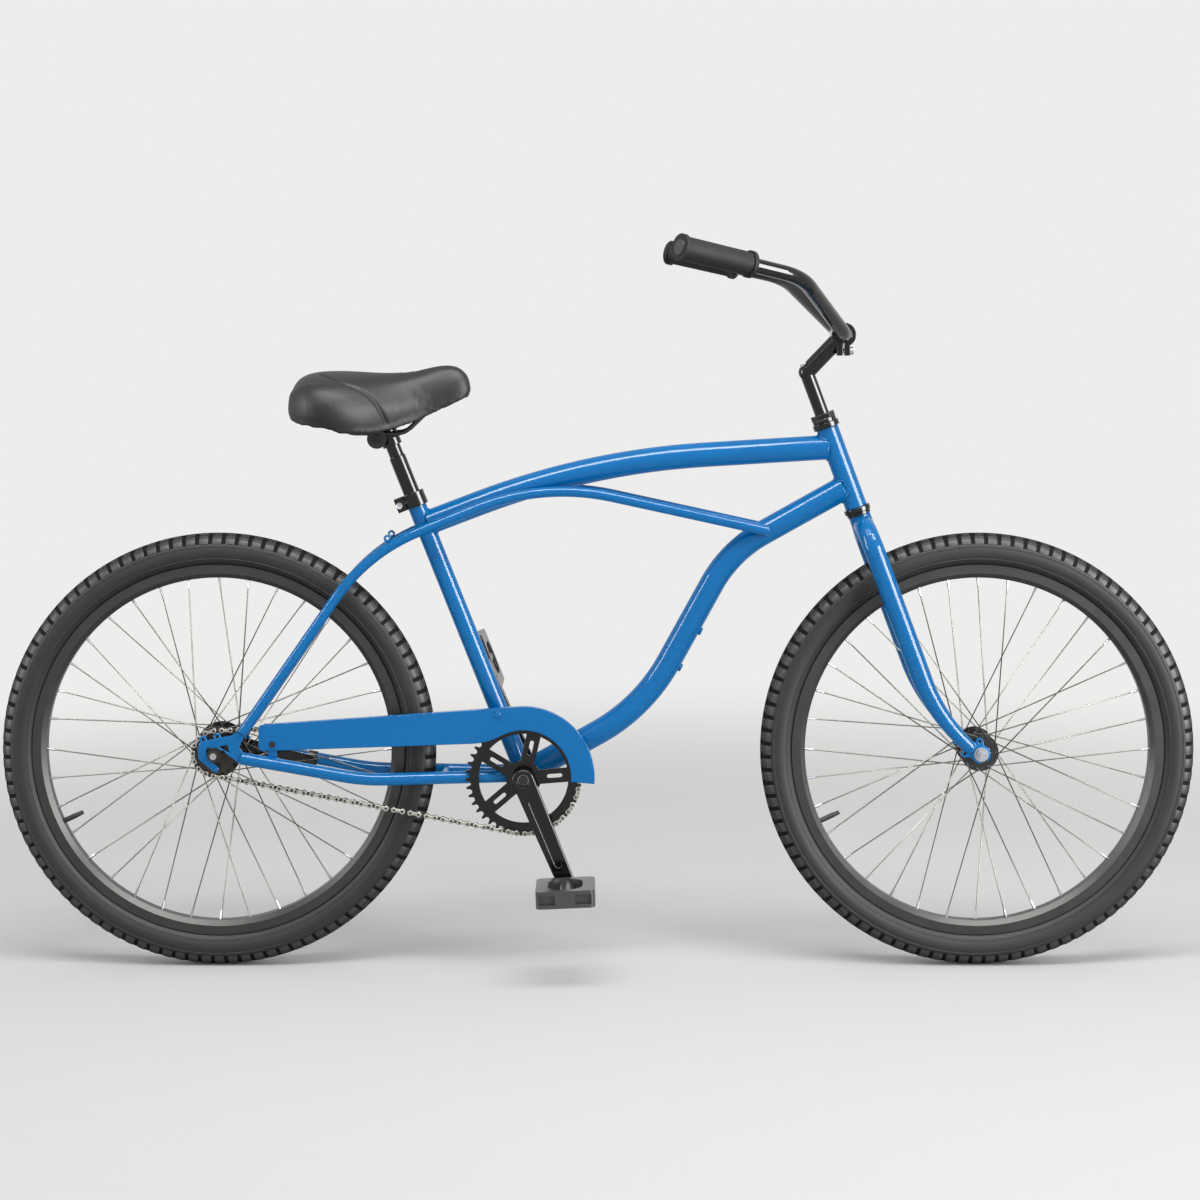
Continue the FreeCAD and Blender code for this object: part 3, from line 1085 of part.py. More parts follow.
def pedal(eye, side, inner, outer, angle):
    """Moulded pedal: a block with an oval opening round the axle barrel and two pockets in its outer end."""
    length = outer - inner
    near = min(side * inner, side * outer)
    low = V(eye.x - PEDAL_LENGTH / 2, near, eye.z - PEDAL_HEIGHT / 2)
    body = Part.makeBox(PEDAL_LENGTH, length, PEDAL_HEIGHT, low)
    uprights = [edge for edge in body.Edges if edge.BoundBox.ZLength > PEDAL_HEIGHT / 2]
    body = body.makeFillet(PEDAL_CORNER_RADIUS, uprights)
    centre = V(eye.x, side * (inner + outer) / 2, low.z - CUT_OVERRUN)
    cut_height = PEDAL_HEIGHT + 2 * CUT_OVERRUN
    run = PEDAL_OPENING_LENGTH / 2 - PEDAL_OPENING_WIDTH / 2
    opening = [
        cylinder(centre + Y_AXIS * end, Z_AXIS, cut_height, PEDAL_OPENING_WIDTH / 2) for end in (-run, run)]
    opening.append(Part.makeBox(PEDAL_OPENING_WIDTH, 2 * run, cut_height,
                                centre - V(PEDAL_OPENING_WIDTH / 2, run, 0)))
    axle_end = outer - PEDAL_END_WALL / 2
    barrel = side_bar(eye, side, inner, axle_end, PEDAL_BARREL_RADIUS)
    bore = side_bar(eye, side, inner - CUT_OVERRUN, axle_end, PEDAL_AXLE_DIAMETER / 2 + SEAT_GAP)
    floor = side * (outer - REFLECTOR_DEPTH)
    pocket_size = (REFLECTOR_LENGTH, PEDAL_END_WALL, REFLECTOR_HEIGHT)
    pocket_low = V(eye.x - REFLECTOR_LENGTH / 2, min(floor, floor + side * PEDAL_END_WALL),
                   eye.z - REFLECTOR_HEIGHT / 2)
    pockets = [Part.makeBox(*pocket_size, pocket_low + X_AXIS * offset)
               for offset in (-REFLECTOR_OFFSET, REFLECTOR_OFFSET)]
    solid = body.cut(opening).fuse(barrel).cut([bore] + pockets).removeSplitter()
    solid.rotate(eye, Y_AXIS, -math.degrees(angle))
    return solid


def block(corner, along, length, up, height, width):
    """Box centred on the middle plane, from one corner along two directions."""
    points = [corner, corner + along * length, corner + along * length + up * height, corner + up * height]
    face = Part.Face(Part.makePolygon(points + points[:1]))
    return face.translated(Y_AXIS * (-width / 2)).extrude(Y_AXIS * width)


def fork_point(up, ahead, across):
    """Place in the fork, measured from the front axle along and square to the steering axis."""
    return FRONT_AXLE + HEAD_UP * up + HEAD_AHEAD * ahead + Y_AXIS * across


def build_blade(side, name, crown):
    """Fork blade that leaves the crown sideways, turns down and sweeps forward to its slotted tip."""
    shoulder = FORK_LENGTH - BLADE_SHOULDER_DOWN
    tip_across = side * (HUB_FRONT_WIDTH + DROPOUT_THICKNESS) / 2
    tip_up = BLADE_KNEE_HEIGHT - BLADE_TIP_RUN * math.cos(BLADE_TIP_ANGLE)
    tip = fork_point(tip_up, BLADE_TIP_RUN * math.sin(BLADE_TIP_ANGLE) - FORK_RAKE, tip_across)
    points = [
        fork_point(shoulder, -FORK_RAKE, side * CROWN_RADIUS / 2),
        fork_point(shoulder, -FORK_RAKE, side * BLADE_HALF_SPREAD),
        fork_point(BLADE_KNEE_HEIGHT, -FORK_RAKE, side * BLADE_KNEE_HALF_SPREAD),
        tip,
    ]
    radii = [BLADE_SHOULDER_RADIUS, BLADE_KNEE_RADIUS]
    tip_radius = BLADE_TIP_DIAMETER / 2
    outside = narrowing_bar(points, radii, BLADE_DIAMETER / 2, tip_radius)
    hollow = narrowing_bar(points, radii, BLADE_DIAMETER / 2 - BLADE_WALL, tip_radius - BLADE_WALL)
    inner = HUB_FRONT_WIDTH / 2
    outer = inner + DROPOUT_THICKNESS
    nut_room = side_bar(FRONT_AXLE, side, outer, outer + BLADE_DIAMETER, WASHER_RADIUS + RUNNING_GAP)
    hub_room = side_bar(FRONT_AXLE, side, inner - BLADE_DIAMETER, inner,
                        FRONT_CONE_DIAMETER / 2 + RUNNING_GAP)
    blade = outside.fuse(Part.makeSphere(tip_radius, tip)).cut([hollow, crown, nut_room, hub_room])

    tip_below = V(tip.x, 0, tip.z)
    eyelets = [FRONT_AXLE + V(forward, 0, up) for forward, up in FORK_EYELETS]
    faces = [capsule(FRONT_AXLE, tip_below, FORK_TAB_RADIUS, tip_radius)]
    faces += [capsule(FRONT_AXLE, eyelet, EYELET_RADIUS, EYELET_RADIUS) for eyelet in eyelets]
    plates = [side_plate(face, side, inner, outer) for face in faces]
    slot_radius = FRONT_AXLE_DIAMETER / 2 + SEAT_GAP
    slot_end = FRONT_AXLE - HEAD_UP * (FORK_TAB_RADIUS + CUT_OVERRUN)
    slot = capsule(FRONT_AXLE, slot_end, slot_radius, slot_radius)
    reach = (inner - CUT_OVERRUN, outer + CUT_OVERRUN)
    cuts = [side_plate(slot, side, *reach)]
    cuts += [side_bar(eyelet, side, *reach, EYELET_BORE_RADIUS) for eyelet in eyelets]
    add(name, blade.multiFuse(plates).cut(cuts).removeSplitter())


def build_fork():
    """Steerer with its crown, both blades, and the headset round the steerer."""
    foot = CROWN_SEAT - HEAD_UP * CROWN_HEIGHT
    crown = cylinder(foot, HEAD_UP, CROWN_HEIGHT, CROWN_RADIUS)
    length = (STEERER_TOP - foot).Length
    steerer = cylinder(foot, HEAD_UP, length, STEERER_DIAMETER / 2).fuse(crown)
    bore = cylinder(foot - HEAD_UP * CUT_OVERRUN, HEAD_UP, length + 2 * CUT_OVERRUN,
                    STEM_DIAMETER / 2 + SEAT_GAP)
    add("fork_steerer", steerer.cut(bore).removeSplitter())
    build_blade(RIGHT, "right_fork_blade", crown)
    build_blade(LEFT, "left_fork_blade", crown)

    seat = STEERER_DIAMETER / 2 + SEAT_GAP
    lower_race = LOWER_STACK - LOWER_CUP_HEIGHT - RUNNING_GAP
    upper_race = UPPER_RACE_HEIGHT - RUNNING_GAP
    nut = HEAD_TOP + HEAD_UP * (UPPER_CUP_HEIGHT + UPPER_RACE_HEIGHT)
    add("headset_races",
        ring(CROWN_SEAT, HEAD_UP, lower_race, RACE_RADIUS, seat),
        ring(nut - HEAD_UP * upper_race, HEAD_UP, upper_race, RACE_RADIUS, seat),
        hex_nut(nut, HEAD_UP, LOCKNUT_HEIGHT, LOCKNUT_ACROSS_FLATS, seat))

    ball = BALL_DIAMETER / 2
    cups = []
    balls = []
    ends = ((HEAD_BOTTOM, HEAD_UP * -1, LOWER_CUP_HEIGHT), (HEAD_TOP, HEAD_UP, UPPER_CUP_HEIGHT))
    for face, outward, height in ends:
        recess = cylinder(face + outward * (height - CUP_RECESS_DEPTH), outward, BALL_DIAMETER + CUT_OVERRUN,
                          HEADSET_BALL_RADIUS + ball + SEAT_GAP)
        cups.append(ring(face, outward, height, CUP_RADIUS, CUP_BORE_RADIUS).cut(recess))
        middle = face + outward * (height - CUP_RECESS_DEPTH + ball + SEAT_GAP)
        balls.append(hoop(middle, HEAD_UP, HEADSET_BALL_RADIUS, ball, CAGE_SIDES))
    add("headset_cups", *cups)
    add("headset_bearings", *balls)


def build_stem_and_bar():
    """Quill stem with its bolts and wedge, and the swept handlebar with its grips."""
    corner = HEAD_TOP + HEAD_UP * STEM_CORNER_HEIGHT
    foot = STEERER_TOP - HEAD_UP * STEM_INSERTION
    quill_length = (corner - foot).Length
    forward = (BAR_CENTRE - corner).normalize()
    half_width = STEM_CLAMP_WIDTH / 2
    solids = [
        cylinder(foot, HEAD_UP, quill_length, STEM_DIAMETER / 2),
        Part.makeSphere(STEM_ARM_RADIUS, corner),
        cylinder(corner, forward, STEM_REACH, STEM_ARM_RADIUS),
        cylinder(BAR_CENTRE - Y_AXIS * half_width, Y_AXIS, STEM_CLAMP_WIDTH, STEM_CLAMP_RADIUS),
        block(BAR_CENTRE - X_AXIS * (STEM_LUG_LENGTH / 2), X_AXIS, STEM_LUG_LENGTH,
              Z_AXIS * -1, STEM_LUG_DROP, STEM_LUG_WIDTH),
    ]
    body = solids[0].multiFuse(solids[1:])
    head_seat = corner + HEAD_UP * STEM_HEAD_SEAT
    bolt_place = BAR_CENTRE - Z_AXIS * STEM_BOLT_DROP - X_AXIS * (STEM_LUG_LENGTH / 2)
    bolt_hole = STEM_BOLT_RADIUS + SEAT_GAP
    body = body.cut([
        cylinder(foot - HEAD_UP * CUT_OVERRUN, HEAD_UP, quill_length - STEM_ARM_RADIUS,
                 STEM_DIAMETER / 2 - STEM_WALL),
        cylinder(foot, HEAD_UP, quill_length + STEM_DIAMETER, bolt_hole),
        cylinder(head_seat, HEAD_UP, STEM_DIAMETER, STEM_BOLT_HEAD_RADIUS + SEAT_GAP),
        cylinder(BAR_CENTRE - Y_AXIS * (half_width + CUT_OVERRUN), Y_AXIS, STEM_CLAMP_WIDTH + 2 * CUT_OVERRUN,
                 BAR_CLAMP_DIAMETER / 2 + SEAT_GAP),
        block(BAR_CENTRE - X_AXIS * (STEM_SLIT / 2), X_AXIS, STEM_SLIT,
              Z_AXIS * -1, STEM_LUG_DROP + CUT_OVERRUN, STEM_CLAMP_WIDTH + CUT_OVERRUN),
        cylinder(bolt_place, X_AXIS, STEM_LUG_LENGTH + CUT_OVERRUN, bolt_hole),
    ])
    add("stem", body.removeSplitter())

    wedge_foot = foot - HEAD_UP * WEDGE_LENGTH
    expander = cylinder(wedge_foot, HEAD_UP, (head_seat - wedge_foot).Length, STEM_BOLT_RADIUS)
    expander = expander.fuse(cylinder(head_seat, HEAD_UP, STEM_BOLT_HEAD_HEIGHT, STEM_BOLT_HEAD_RADIUS))
    clamp_bolt = cylinder(bolt_place, X_AXIS, STEM_LUG_LENGTH, STEM_BOLT_RADIUS)
    clamp_head = cylinder(bolt_place + X_AXIS * STEM_LUG_LENGTH, X_AXIS, STEM_BOLT_HEAD_HEIGHT,
                          STEM_BOLT_HEAD_RADIUS)
    add("stem_bolts", expander, ring(wedge_foot, HEAD_UP, WEDGE_LENGTH, STEM_DIAMETER / 2, bolt_hole),
        clamp_bolt.fuse(clamp_head))

    def bar_side(side):
        return [
            BAR_CENTRE + V(-BAR_END_BACK, side * BAR_END_OUT, BAR_END_RISE),
            BAR_CENTRE + V(-BAR_BEND_BACK, side * BAR_BEND_OUT, BAR_BEND_RISE),
            BAR_CENTRE + Y_AXIS * (side * BAR_STRAIGHT / 2),
        ]

    points = bar_side(RIGHT) + bar_side(LEFT)[::-1]
    radii = [BAR_OUTER_BEND_RADIUS, BAR_INNER_BEND_RADIUS, BAR_INNER_BEND_RADIUS, BAR_OUTER_BEND_RADIUS]
    sleeve_foot = BAR_CENTRE - Y_AXIS * (BAR_CLAMP_SLEEVE / 2)
    sleeve = cylinder(sleeve_foot, Y_AXIS, BAR_CLAMP_SLEEVE, BAR_CLAMP_DIAMETER / 2)
    bar = pipe(points, radii, BAR_DIAMETER / 2).fuse(sleeve)
    add("handlebar", bar.cut(pipe(points, radii, BAR_DIAMETER / 2 - BAR_WALL)).removeSplitter())
    for side, name in ((RIGHT, "right_grip"), (LEFT, "left_grip")):
        end, bend, _ = bar_side(side)
        along = (end - bend).normalize()
        start = end - along * (GRIP_LENGTH - GRIP_CAP)
        flanges = [cylinder(start + along * run, along, GRIP_FLANGE_WIDTH, GRIP_FLANGE_DIAMETER / 2)
                   for run in (0, GRIP_LENGTH - GRIP_FLANGE_WIDTH)]
        grip = cylinder(start, along, GRIP_LENGTH, GRIP_DIAMETER / 2).multiFuse(flanges)
        room = cylinder(start - along * CUT_OVERRUN, along, GRIP_LENGTH - GRIP_CAP + CUT_OVERRUN,
                        BAR_DIAMETER / 2 + SEAT_GAP)
        add(name, grip.cut(room).removeSplitter())


def saddle_at(share):
    """Half width, crown height and skirt height of the saddle at a share of its length back from the nose."""
    for first, second in zip(SADDLE_STATION_SHARES, SADDLE_STATION_SHARES[1:]):
        if share <= second[0]:
            part = (share - first[0]) / (second[0] - first[0])
            width, crown, skirt = [a + (b - a) * part for a, b in zip(first[1:], second[1:])]
            break
    floor = SADDLE_BOLT.z + SADDLE_SKIRT_ABOVE_BOLT
    return width * SADDLE_WIDTH / 2, floor + crown * SADDLE_HEIGHT, floor + skirt * SADDLE_HEIGHT


def saddle_tray(margin, low, high):
    """Flat-sided body inside the saddle, between two heights above the skirt."""
    sections = []
    for share in [station[0] for station in SADDLE_STATION_SHARES[1:-1]]:
        half, _, skirt = saddle_at(share)
        x = SADDLE_BOLT.x + SADDLE_NOSE_FORWARD - share * SADDLE_LENGTH
        y = half - margin
        corners = [V(x, -y, skirt + low), V(x, y, skirt + low), V(x, y, skirt + high), V(x, -y, skirt + high)]
        sections.append(Part.makePolygon(corners + corners[:1]))
    return Part.makeLoft(sections, True, True)


def build_saddle():
    """Padded cover over a base pan, on two rails held by cheeks on the clamp bolt."""
    sections = []
    for share in [station[0] for station in SADDLE_STATION_SHARES]:
        half, crown, skirt = saddle_at(share)
        x = SADDLE_BOLT.x + SADDLE_NOSE_FORWARD - share * SADDLE_LENGTH
        rise = crown - skirt

        def place(width_share, height_share):
            return V(x, half * width_share, skirt + rise * height_share)

        low, belly, shoulder = SADDLE_SECTION_SHARES
        edges = [
            Part.LineSegment(place(-low[0], low[1]), place(low[0], low[1])),
            Part.Arc(place(low[0], low[1]), place(belly[0], belly[1]), place(shoulder[0], shoulder[1])),
            Part.Arc(place(shoulder[0], shoulder[1]), place(0, 1), place(-shoulder[0], shoulder[1])),
            Part.Arc(place(-shoulder[0], shoulder[1]), place(-belly[0], belly[1]), place(-low[0], low[1])),
        ]
        sections.append(Part.Wire([edge.toShape() for edge in edges]))
    ceiling = SADDLE_RECESS_DEPTH
    pocket = saddle_tray(SADDLE_FOAM_MARGIN, -SADDLE_HEIGHT, ceiling)
    add("saddle_cover", Part.makeLoft(sections, True, False).cut(pocket))
    top = ceiling - SEAT_GAP
    base = saddle_tray(SADDLE_FOAM_MARGIN + RUNNING_GAP, top - SADDLE_BASE_THICKNESS, top)
    add("saddle_base", base)
    base_room = saddle_tray(SADDLE_FOAM_MARGIN, top - SADDLE_BASE_THICKNESS, SADDLE_HEIGHT)

    inner = CLAMP_BARREL_WIDTH / 2 + RUNNING_GAP
    outer = inner + CHEEK_THICKNESS
    spread = (inner + outer) / 2
    height = SADDLE_BOLT.z + RAIL_ABOVE_BOLT
    bolt_bore = CLAMP_BOLT_RADIUS + SEAT_GAP

    def rail_end(forward, across):
        share = (SADDLE_NOSE_FORWARD - forward) / SADDLE_LENGTH
        skirt = saddle_at(share)[2]
        return V(SADDLE_BOLT.x + forward, across, skirt + top - SADDLE_BASE_THICKNESS / 2)

    def half_carriage(side):
        points = [
            rail_end(RAIL_NOSE_FORWARD, side * RAIL_NOSE_HALF_SPREAD),
            V(SADDLE_BOLT.x + RAIL_FLAT_FRONT, side * spread, height),
            V(SADDLE_BOLT.x - RAIL_FLAT_REAR, side * spread, height),
            rail_end(-RAIL_TAIL_BACK, side * RAIL_TAIL_HALF_SPREAD),
        ]
        rail = pipe(points, [RAIL_BEND_RADIUS] * 2, RAIL_DIAMETER / 2).cut(base_room)
        cheek = side_bar(SADDLE_BOLT, side, inner, outer, CHEEK_RADIUS)
        hole = side_bar(SADDLE_BOLT, side, inner - CUT_OVERRUN, outer + CUT_OVERRUN, bolt_bore)
        return cheek.fuse(rail).cut(hole).removeSplitter()

    add("saddle_undercarriage", *both_sides(half_carriage))


def build_seat():
    """Seat collar, seatpost and saddle clamp."""
    back = SEAT_UP.cross(Y_AXIS)
    foot = SEAT_TOP - SEAT_UP * COLLAR_HEIGHT
    radius = SEAT_TUBE_DIAMETER / 2 + COLLAR_WALL
    lug = block(foot, back, radius + COLLAR_LUG_LENGTH, SEAT_UP, COLLAR_HEIGHT, COLLAR_LUG_WIDTH)
    slit = block(foot - SEAT_UP * CUT_OVERRUN, back, radius + COLLAR_LUG_LENGTH + CUT_OVERRUN, SEAT_UP,
                 COLLAR_HEIGHT + 2 * CUT_OVERRUN, COLLAR_SLIT)
    room = cylinder(foot - SEAT_UP * CUT_OVERRUN, SEAT_UP, COLLAR_HEIGHT + 2 * CUT_OVERRUN,
                    SEAT_TUBE_DIAMETER / 2 + SEAT_GAP)
    bolt_middle = foot + SEAT_UP * (COLLAR_HEIGHT / 2) + back * (radius + COLLAR_LUG_LENGTH / 2)
    half_width = COLLAR_LUG_WIDTH / 2
    bolt_start = bolt_middle - Y_AXIS * half_width
    hole = cylinder(bolt_start - Y_AXIS * CUT_OVERRUN, Y_AXIS, COLLAR_LUG_WIDTH + 2 * CUT_OVERRUN,
                    COLLAR_BOLT_RADIUS + SEAT_GAP)
    band = cylinder(foot, SEAT_UP, COLLAR_HEIGHT, radius).fuse(lug).cut([room, slit, hole]).removeSplitter()
    bolt = cylinder(bolt_start, Y_AXIS, COLLAR_LUG_WIDTH, COLLAR_BOLT_RADIUS)
    head = cylinder(bolt_start, Y_AXIS * -1, COLLAR_BOLT_HEAD_LENGTH, COLLAR_BOLT_HEAD_RADIUS)
    add("seat_collar", band, bolt.fuse(head))

    post_foot = SEAT_TOP - SEAT_UP * POST_INSERTION
    length = POST_INSERTION + POST_SHOW
    post = cylinder(post_foot, SEAT_UP, length - POST_TOP_LENGTH, POST_DIAMETER / 2)
    post = post.fuse(cylinder(post_foot, SEAT_UP, length, POST_TOP_DIAMETER / 2))
    hollow = cylinder(post_foot - SEAT_UP * CUT_OVERRUN, SEAT_UP, length, POST_TOP_DIAMETER / 2 - POST_WALL)
    add("seatpost", post.cut(hollow).removeSplitter())

    post_room = cylinder(post_foot, SEAT_UP, 2 * length, POST_TOP_DIAMETER / 2 + SEAT_GAP)
    sleeve_foot = POST_TOP - SEAT_UP * CLAMP_SLEEVE_HEIGHT
    sleeve = cylinder(sleeve_foot, SEAT_UP, CLAMP_SLEEVE_HEIGHT, POST_TOP_DIAMETER / 2 + CLAMP_SLEEVE_WALL)
    half_barrel = CLAMP_BARREL_WIDTH / 2
    barrel = cylinder(SADDLE_BOLT - Y_AXIS * half_barrel, Y_AXIS, CLAMP_BARREL_WIDTH, CLAMP_BARREL_RADIUS)
    nut_face = half_barrel + CHEEK_THICKNESS + 2 * RUNNING_GAP
    reach = nut_face + CLAMP_NUT_HEIGHT
    bolt_hole = cylinder(SADDLE_BOLT - Y_AXIS * reach, Y_AXIS, 2 * reach, CLAMP_BOLT_RADIUS + SEAT_GAP)
    body = sleeve.fuse(barrel).cut([post_room, bolt_hole]).removeSplitter()
    rod = cylinder(SADDLE_BOLT - Y_AXIS * reach, Y_AXIS, 2 * reach, CLAMP_BOLT_RADIUS)
    nuts = both_sides(lambda side: hex_nut(
        SADDLE_BOLT + Y_AXIS * (side * nut_face), Y_AXIS * side, CLAMP_NUT_HEIGHT,
        CLAMP_NUT_ACROSS_FLATS, CLAMP_BOLT_RADIUS + SEAT_GAP))
    add("saddle_clamp", body, rod, *nuts)


build_rear_dropouts()
build_frame()
screws = build_chain_guard()
add("frame_screws", *screws, *build_brake_arm())
build_fork()
build_stem_and_bar()
build_wheels()
build_drive()
build_seat()
build_saddle()

os.makedirs("parts", exist_ok=True)
for name, shape in pieces.items():
    shape.exportStep("parts/" + name + ".step")
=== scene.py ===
"""Looks of a beach cruiser bicycle: finishes for its solids, with tyres, spokes, welds and saddle cover."""
import logging
import math
from dataclasses import dataclass
from enum import Enum

import bmesh
import bpy
from bmesh.types import BMesh
from mathutils import Color, Matrix, Vector
from mathutils.bvhtree import BVHTree
from mathutils.kdtree import KDTree

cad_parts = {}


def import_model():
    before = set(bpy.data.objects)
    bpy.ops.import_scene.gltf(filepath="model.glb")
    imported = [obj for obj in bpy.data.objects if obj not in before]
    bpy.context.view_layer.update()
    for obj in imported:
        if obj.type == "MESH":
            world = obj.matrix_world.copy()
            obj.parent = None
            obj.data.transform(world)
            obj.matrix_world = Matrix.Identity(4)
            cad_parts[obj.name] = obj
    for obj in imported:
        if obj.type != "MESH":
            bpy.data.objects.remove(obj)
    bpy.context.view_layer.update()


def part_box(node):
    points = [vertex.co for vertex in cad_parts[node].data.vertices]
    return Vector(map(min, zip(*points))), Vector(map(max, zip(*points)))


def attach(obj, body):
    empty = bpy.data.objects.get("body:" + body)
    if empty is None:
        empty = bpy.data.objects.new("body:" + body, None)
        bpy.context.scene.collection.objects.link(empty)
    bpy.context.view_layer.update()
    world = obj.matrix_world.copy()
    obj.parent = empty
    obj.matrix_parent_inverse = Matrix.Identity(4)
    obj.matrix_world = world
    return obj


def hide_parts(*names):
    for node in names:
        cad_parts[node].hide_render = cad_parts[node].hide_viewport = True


ACROSS = Vector((0.0, 1.0, 0.0))
UP = Vector((0.0, 0.0, 1.0))
SIDES = (-1, 1)
MM_PER_METRE = 1000.0
SMOOTH_ANGLE = math.radians(35.0)
MERGE_DISTANCE = 1e-6

log = logging.getLogger("cruiser")


def linear(hex_colour: str) -> tuple[float, float, float, float]:
    """Turn a written sRGB colour into the linear values that a shader takes.

    Args:
        hex_colour: six hexadecimal digits after a hash sign.

    Returns:
        Red, green, blue and alpha.
    """
    written = [int(hex_colour[start:start + 2], 16) / 255 for start in (1, 3, 5)]
    return (*Color(written).from_srgb_to_scene_linear(), 1.0)


def per_metre(size_mm: float) -> float:
    """Give the texture scale at which one feature of a pattern is this many millimetres wide."""
    return MM_PER_METRE / size_mm


def set_inputs(node: bpy.types.Node, inputs: dict) -> None:
    """Set the inputs of a shader node.

    Args:
        node: the node.
        inputs: a value or a linked output socket for each named or numbered input.
    """
    for key, value in inputs.items():
        if isinstance(value, bpy.types.NodeSocket):
            node.id_data.links.new(value, node.inputs[key])
        else:
            node.inputs[key].default_value = value


def add_node(tree: bpy.types.NodeTree, kind: str, inputs: dict, **settings: object) -> bpy.types.Node:
    """Add one shader node.

    Args:
        tree: the node tree that takes it.
        kind: the node's type name.
        inputs: what its inputs are set to.
        **settings: the node's own properties.

    Returns:
        The new node.
    """
    node = tree.nodes.new(kind)
    for name, value in settings.items():
        setattr(node, name, value)
    set_inputs(node, inputs)
    return node


class Grain(Enum):
    """The small relief that a way of making a surface leaves on it."""

    PEEL = "soft waves of sprayed paint"
    CRYSTAL = "grains of plated metal"
    DRAWN = "fine lines of drawn or turned metal"
    SPARK = "even roughness of an eroded mould"
    PEBBLE = "cells of embossed vinyl or foam"


@dataclass(frozen=True)
class Finish:
    """One real surface: its colours, its gloss and the relief that the eye picks up.

    A finish with a flow is shaded like paint that runs over the mesh's facets and rounds them.
    """

    name: str
    colour: str
    patch_colour: str
    grain: Grain
    grain_mm: float
    relief_mm: float
    patch_mm: float
    roughness: tuple[float, float]
    metallic: float = 0.0
    coat: float = 0.0
    coat_roughness: float = 0.03
    specular: float = 0.5
    sheen: float = 0.0
    drawn_share: float = 0.04
    wave_detail: float = 2.0
    fine_detail: float = 5.0
    patch_detail: float = 4.0
    patch_breakup: float = 0.6
    flow_mm: float = 0.0
    flow_samples: int = 8

    def relief(self, tree: bpy.types.NodeTree, place: bpy.types.NodeSocket) -> bpy.types.NodeSocket:
        """Lay the grain's height pattern.

        Args:
            tree: the material's node tree.
            place: the object coordinates.

        Returns:
            The height, from 0 to 1.
        """
        scale = per_metre(self.grain_mm)
        if self.grain in (Grain.PEBBLE, Grain.CRYSTAL):
            feature = "SMOOTH_F1" if self.grain is Grain.PEBBLE else "F1"
            cells = add_node(tree, "ShaderNodeTexVoronoi", {"Vector": place, "Scale": scale}, feature=feature)
            return cells.outputs["Distance"]
        if self.grain is Grain.DRAWN:
            stretch = (self.drawn_share, 1.0, 1.0)
            place = add_node(tree, "ShaderNodeMapping", {"Vector": place, "Scale": stretch}).outputs["Vector"]
        detail = self.wave_detail if self.grain is Grain.PEEL else self.fine_detail
        noise = add_node(tree, "ShaderNodeTexNoise", {"Vector": place, "Scale": scale, "Detail": detail})
        return noise.outputs["Fac"]

    def material(self) -> bpy.types.Material:
        """Build the finish's shader once.

        Returns:
            The material.
        """
        made = bpy.data.materials.get(self.name)
        if made is not None:
            return made
        made = bpy.data.materials.new(self.name)
        made.use_nodes = True
        tree = made.node_tree
        shader = tree.nodes["Principled BSDF"]
        place = add_node(tree, "ShaderNodeTexCoord", {}).outputs["Object"]
        height = self.relief(tree, place)
        patch = add_node(tree, "ShaderNodeTexNoise", {
            "Vector": place, "Scale": per_metre(self.patch_mm), "Detail": self.patch_detail,
            "Roughness": self.patch_breakup})
        mixed = add_node(tree, "ShaderNodeMix", {
            "Factor": patch.outputs["Fac"], "A": linear(self.colour), "B": linear(self.patch_colour)},
            data_type="RGBA")
        gloss = add_node(tree, "ShaderNodeMapRange", {
            "Value": patch.outputs["Fac"], "To Min": self.roughness[0], "To Max": self.roughness[1]})
        bump = add_node(tree, "ShaderNodeBump", {"Height": height, "Distance": self.relief_mm / MM_PER_METRE})
        if self.flow_mm:
            flow = add_node(tree, "ShaderNodeBevel", {"Radius": self.flow_mm / MM_PER_METRE},
                            samples=self.flow_samples)
            set_inputs(bump, {"Normal": flow.outputs["Normal"]})
            set_inputs(shader, {"Coat Normal": bump.outputs["Normal"]})
        set_inputs(shader, {
            "Base Color": mixed.outputs["Result"], "Roughness": gloss.outputs["Result"],
            "Normal": bump.outputs["Normal"], "Metallic": self.metallic, "Specular IOR Level": self.specular,
            "Coat Weight": self.coat, "Coat Roughness": self.coat_roughness, "Sheen Weight": self.sheen})
        made.diffuse_color = linear(self.colour)
        return made


# Gloss enamel sprayed on steel tube: a deep clean blue under a wet clear coat with faint orange peel.
BLUE_ENAMEL = Finish(
    "blue_gloss_enamel_on_steel", "#0074BA", "#006BAE", Grain.PEEL, grain_mm=2.2, relief_mm=0.0012,
    patch_mm=90.0, roughness=(0.24, 0.32), coat=0.42, coat_roughness=0.03, specular=0.05, flow_mm=2.5)
# The same enamel over a weld: the bead's ripples show as a string of small lights.
WELD_ENAMEL = Finish(
    "blue_gloss_enamel_over_weld", "#0070B4", "#0066A6", Grain.PEBBLE, grain_mm=2.6, relief_mm=0.25,
    patch_mm=40.0, roughness=(0.24, 0.34), coat=0.42, coat_roughness=0.04, specular=0.05)
# Gloss enamel on cranks, stem, bar and seat post: black that is only seen by what it mirrors.
BLACK_ENAMEL = Finish(
    "black_gloss_enamel_on_steel", "#0A0A0B", "#101012", Grain.PEEL, grain_mm=2.0, relief_mm=0.0015,
    patch_mm=70.0, roughness=(0.20, 0.28), coat=0.55, coat_roughness=0.03, specular=0.1, flow_mm=1.5)
# Bright zinc plate on nuts, screws and axles: cool grey grains, a little cloudy.
ZINC_PLATE = Finish(
    "bright_zinc_plate_on_steel", "#B9BCC0", "#9DA1A6", Grain.CRYSTAL, grain_mm=0.9, relief_mm=0.015,
    patch_mm=6.0, roughness=(0.26, 0.40), metallic=1.0)
